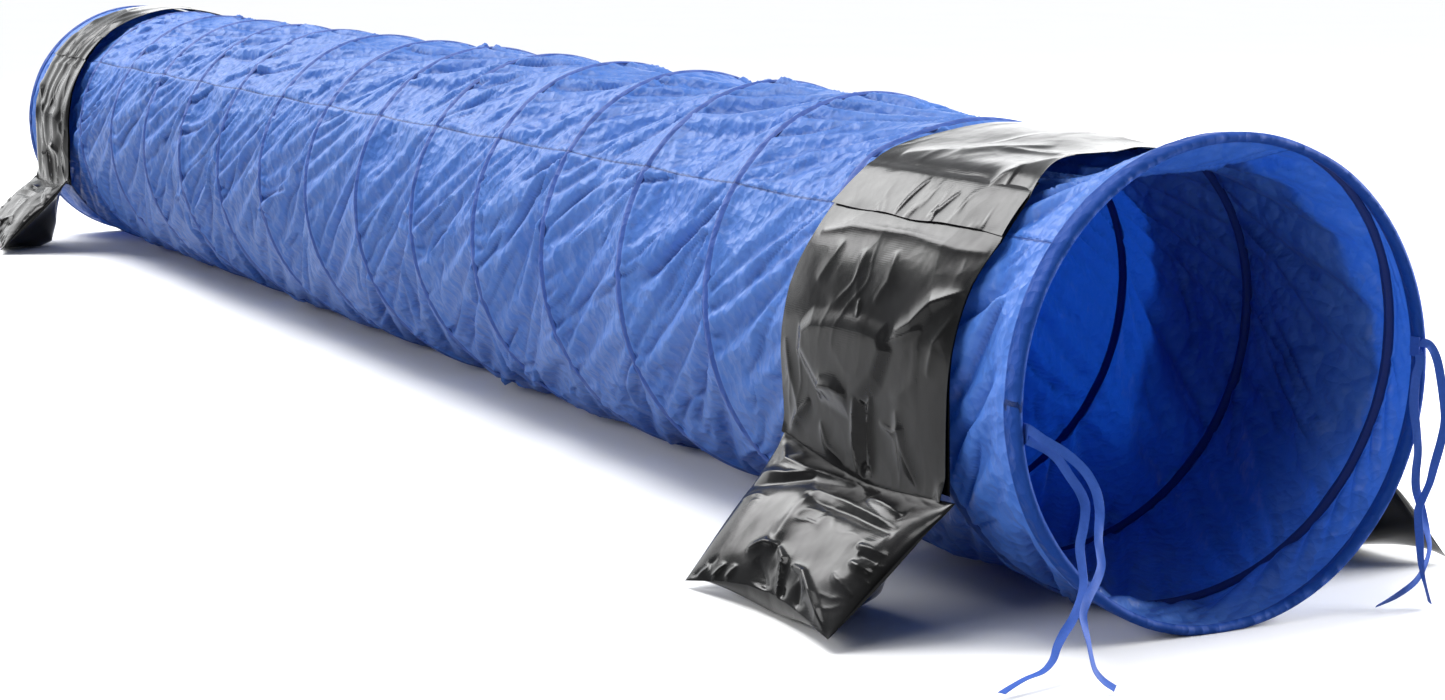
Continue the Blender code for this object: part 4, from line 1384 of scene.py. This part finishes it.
def make_studio():
    """A sky that is brighter behind the tunnel and to its right, a soft sun, and soft boxes."""
    scene = bpy.context.scene
    scene.view_settings.view_transform = "Standard"
    world = bpy.data.worlds.new("studio")
    world.use_nodes = True
    tree = world.node_tree
    sky = tree.nodes["Background"]
    sky.inputs["Color"].default_value = SKY_COLOUR
    towards = tree.nodes.new("ShaderNodeSeparateXYZ")
    tree.links.new(tree.nodes.new("ShaderNodeTexCoord").outputs["Generated"], towards.inputs[0])
    east, north = (Pattern(tree, towards.outputs[axis]) for axis in "XY")
    tree.links.new((east * -0.30 + north * 0.30 + 0.38).socket, sky.inputs["Strength"])
    scene.world = world
    sun = bpy.data.lights.new("overhead", "SUN")
    sun.energy = SUN_STRENGTH
    sun.angle = SUN_SPREAD
    link("overhead", sun).rotation_euler = Vector(SUN_FROM).to_track_quat("Z", "Y").to_euler()
    for name, (place, aim, size, watts) in LAMPS.items():
        lamp = bpy.data.lights.new(name, "AREA")
        lamp.shape = "RECTANGLE"
        lamp.size, lamp.size_y = size
        lamp.energy = watts
        box = link(name, lamp)
        box.location = place
        box.rotation_euler = (Vector(place) - Vector(aim)).to_track_quat("Z", "Y").to_euler()


def make_floor():
    """A pale floor that looks white, and throws less light up on the object than it shows."""
    f = Finish("pale_floor")
    pale = f.ramp(f.noise(f.place(), 1.5), (0.3, (0.94, 0.94, 0.94)), (0.7, (0.95, 0.95, 0.95)))
    path = f.node("ShaderNodeLightPath").outputs
    kinds = ("Camera", "Glossy", "Transmission")
    camera, glossy, passed = (f.pattern(path[f"Is {kind} Ray"]) for kind in kinds)
    colour = f.blend((camera + glossy + passed).clamped(), (0.36, 0.36, 0.37), pale)
    material = f.surface(f.principled(Base_Color=colour, Roughness=0.9, Specular_IOR_Level=0.1))
    bm = bmesh.new()
    bmesh.ops.create_grid(bm, x_segments=1, y_segments=1, size=160)
    mesh = bpy.data.meshes.new("floor")
    bm.to_mesh(mesh)
    bm.free()
    mesh.materials.append(material)
    link("floor", mesh)


CLOTH = cloth_finish(
    "tunnel_cloth",
    # lit also gives the painted highlight on the ridges of folds
    lit=(0.148, 0.340, 0.905),
    shade=(0.066, 0.228, 0.790),
    # dark also gives the painted shade over the ribs' tape and in the valleys of folds
    dark=(0.007, 0.044, 0.290),
    through=(0.003, 0.034, 0.215),
    gloss=0.48,
)
HEM = cloth_finish(
    "hem_cloth",
    lit=(0.022, 0.150, 0.590),
    shade=(0.014, 0.108, 0.480),
    dark=(0.008, 0.060, 0.330),
    through=(0.006, 0.070, 0.500),
    gloss=0.20,
)
CASING = tape_finish("casing_cloth", (0.010, 0.036, 0.200), (0.006, 0.022, 0.140))
RIBBON = tape_finish("ribbon", (0.040, 0.125, 0.520), (0.024, 0.080, 0.380))
TARPAULIN = tarpaulin_finish()
STEEL = plain_finish("spring_steel", (0.42, 0.42, 0.44), 0.32, 1.0, 400.0, 0.0001)
CAP = plain_finish("cap_plastic", (0.05, 0.05, 0.06), 0.5, 0.0, 500.0, 0.0001)
HOOK = plain_finish("hook_tape", (0.018, 0.018, 0.020), 0.85, 0.0, 900.0, 0.0006)
SAND = plain_finish("sand", (0.50, 0.38, 0.24), 0.95, 0.0, 900.0, 0.0008)

NODE_FINISHES = {"hoop": STEEL, "sleeve": STEEL, "cap": CAP, "tack": RIBBON}


def finish_frame_nodes():
    """Give the solids that stay in view their materials."""
    for name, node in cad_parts.items():
        for ending, material in NODE_FINISHES.items():
            if name.endswith(ending):
                node.data.materials.clear()
                node.data.materials.append(material)


make_camera()
for tie, tie_route in RIBBON_ROUTES.items():
    make_tie(tie, tie_route, RIBBON)
make_studio()
make_floor()
finish_frame_nodes()
make_wire(STEEL)
make_casing(CASING)
make_skin(CLOTH)
for mouth in ("near", "far"):
    make_hem(mouth, HEM)
    make_band(mouth, TARPAULIN)
    for hand in ("left", "right"):
        make_pocket(mouth, hand, TARPAULIN)
        make_flap(mouth, hand, TARPAULIN)
        for closure in CLOSURES:
            make_closure(mouth, hand, closure, HOOK)
        make_bag(mouth, hand, TARPAULIN, SAND)
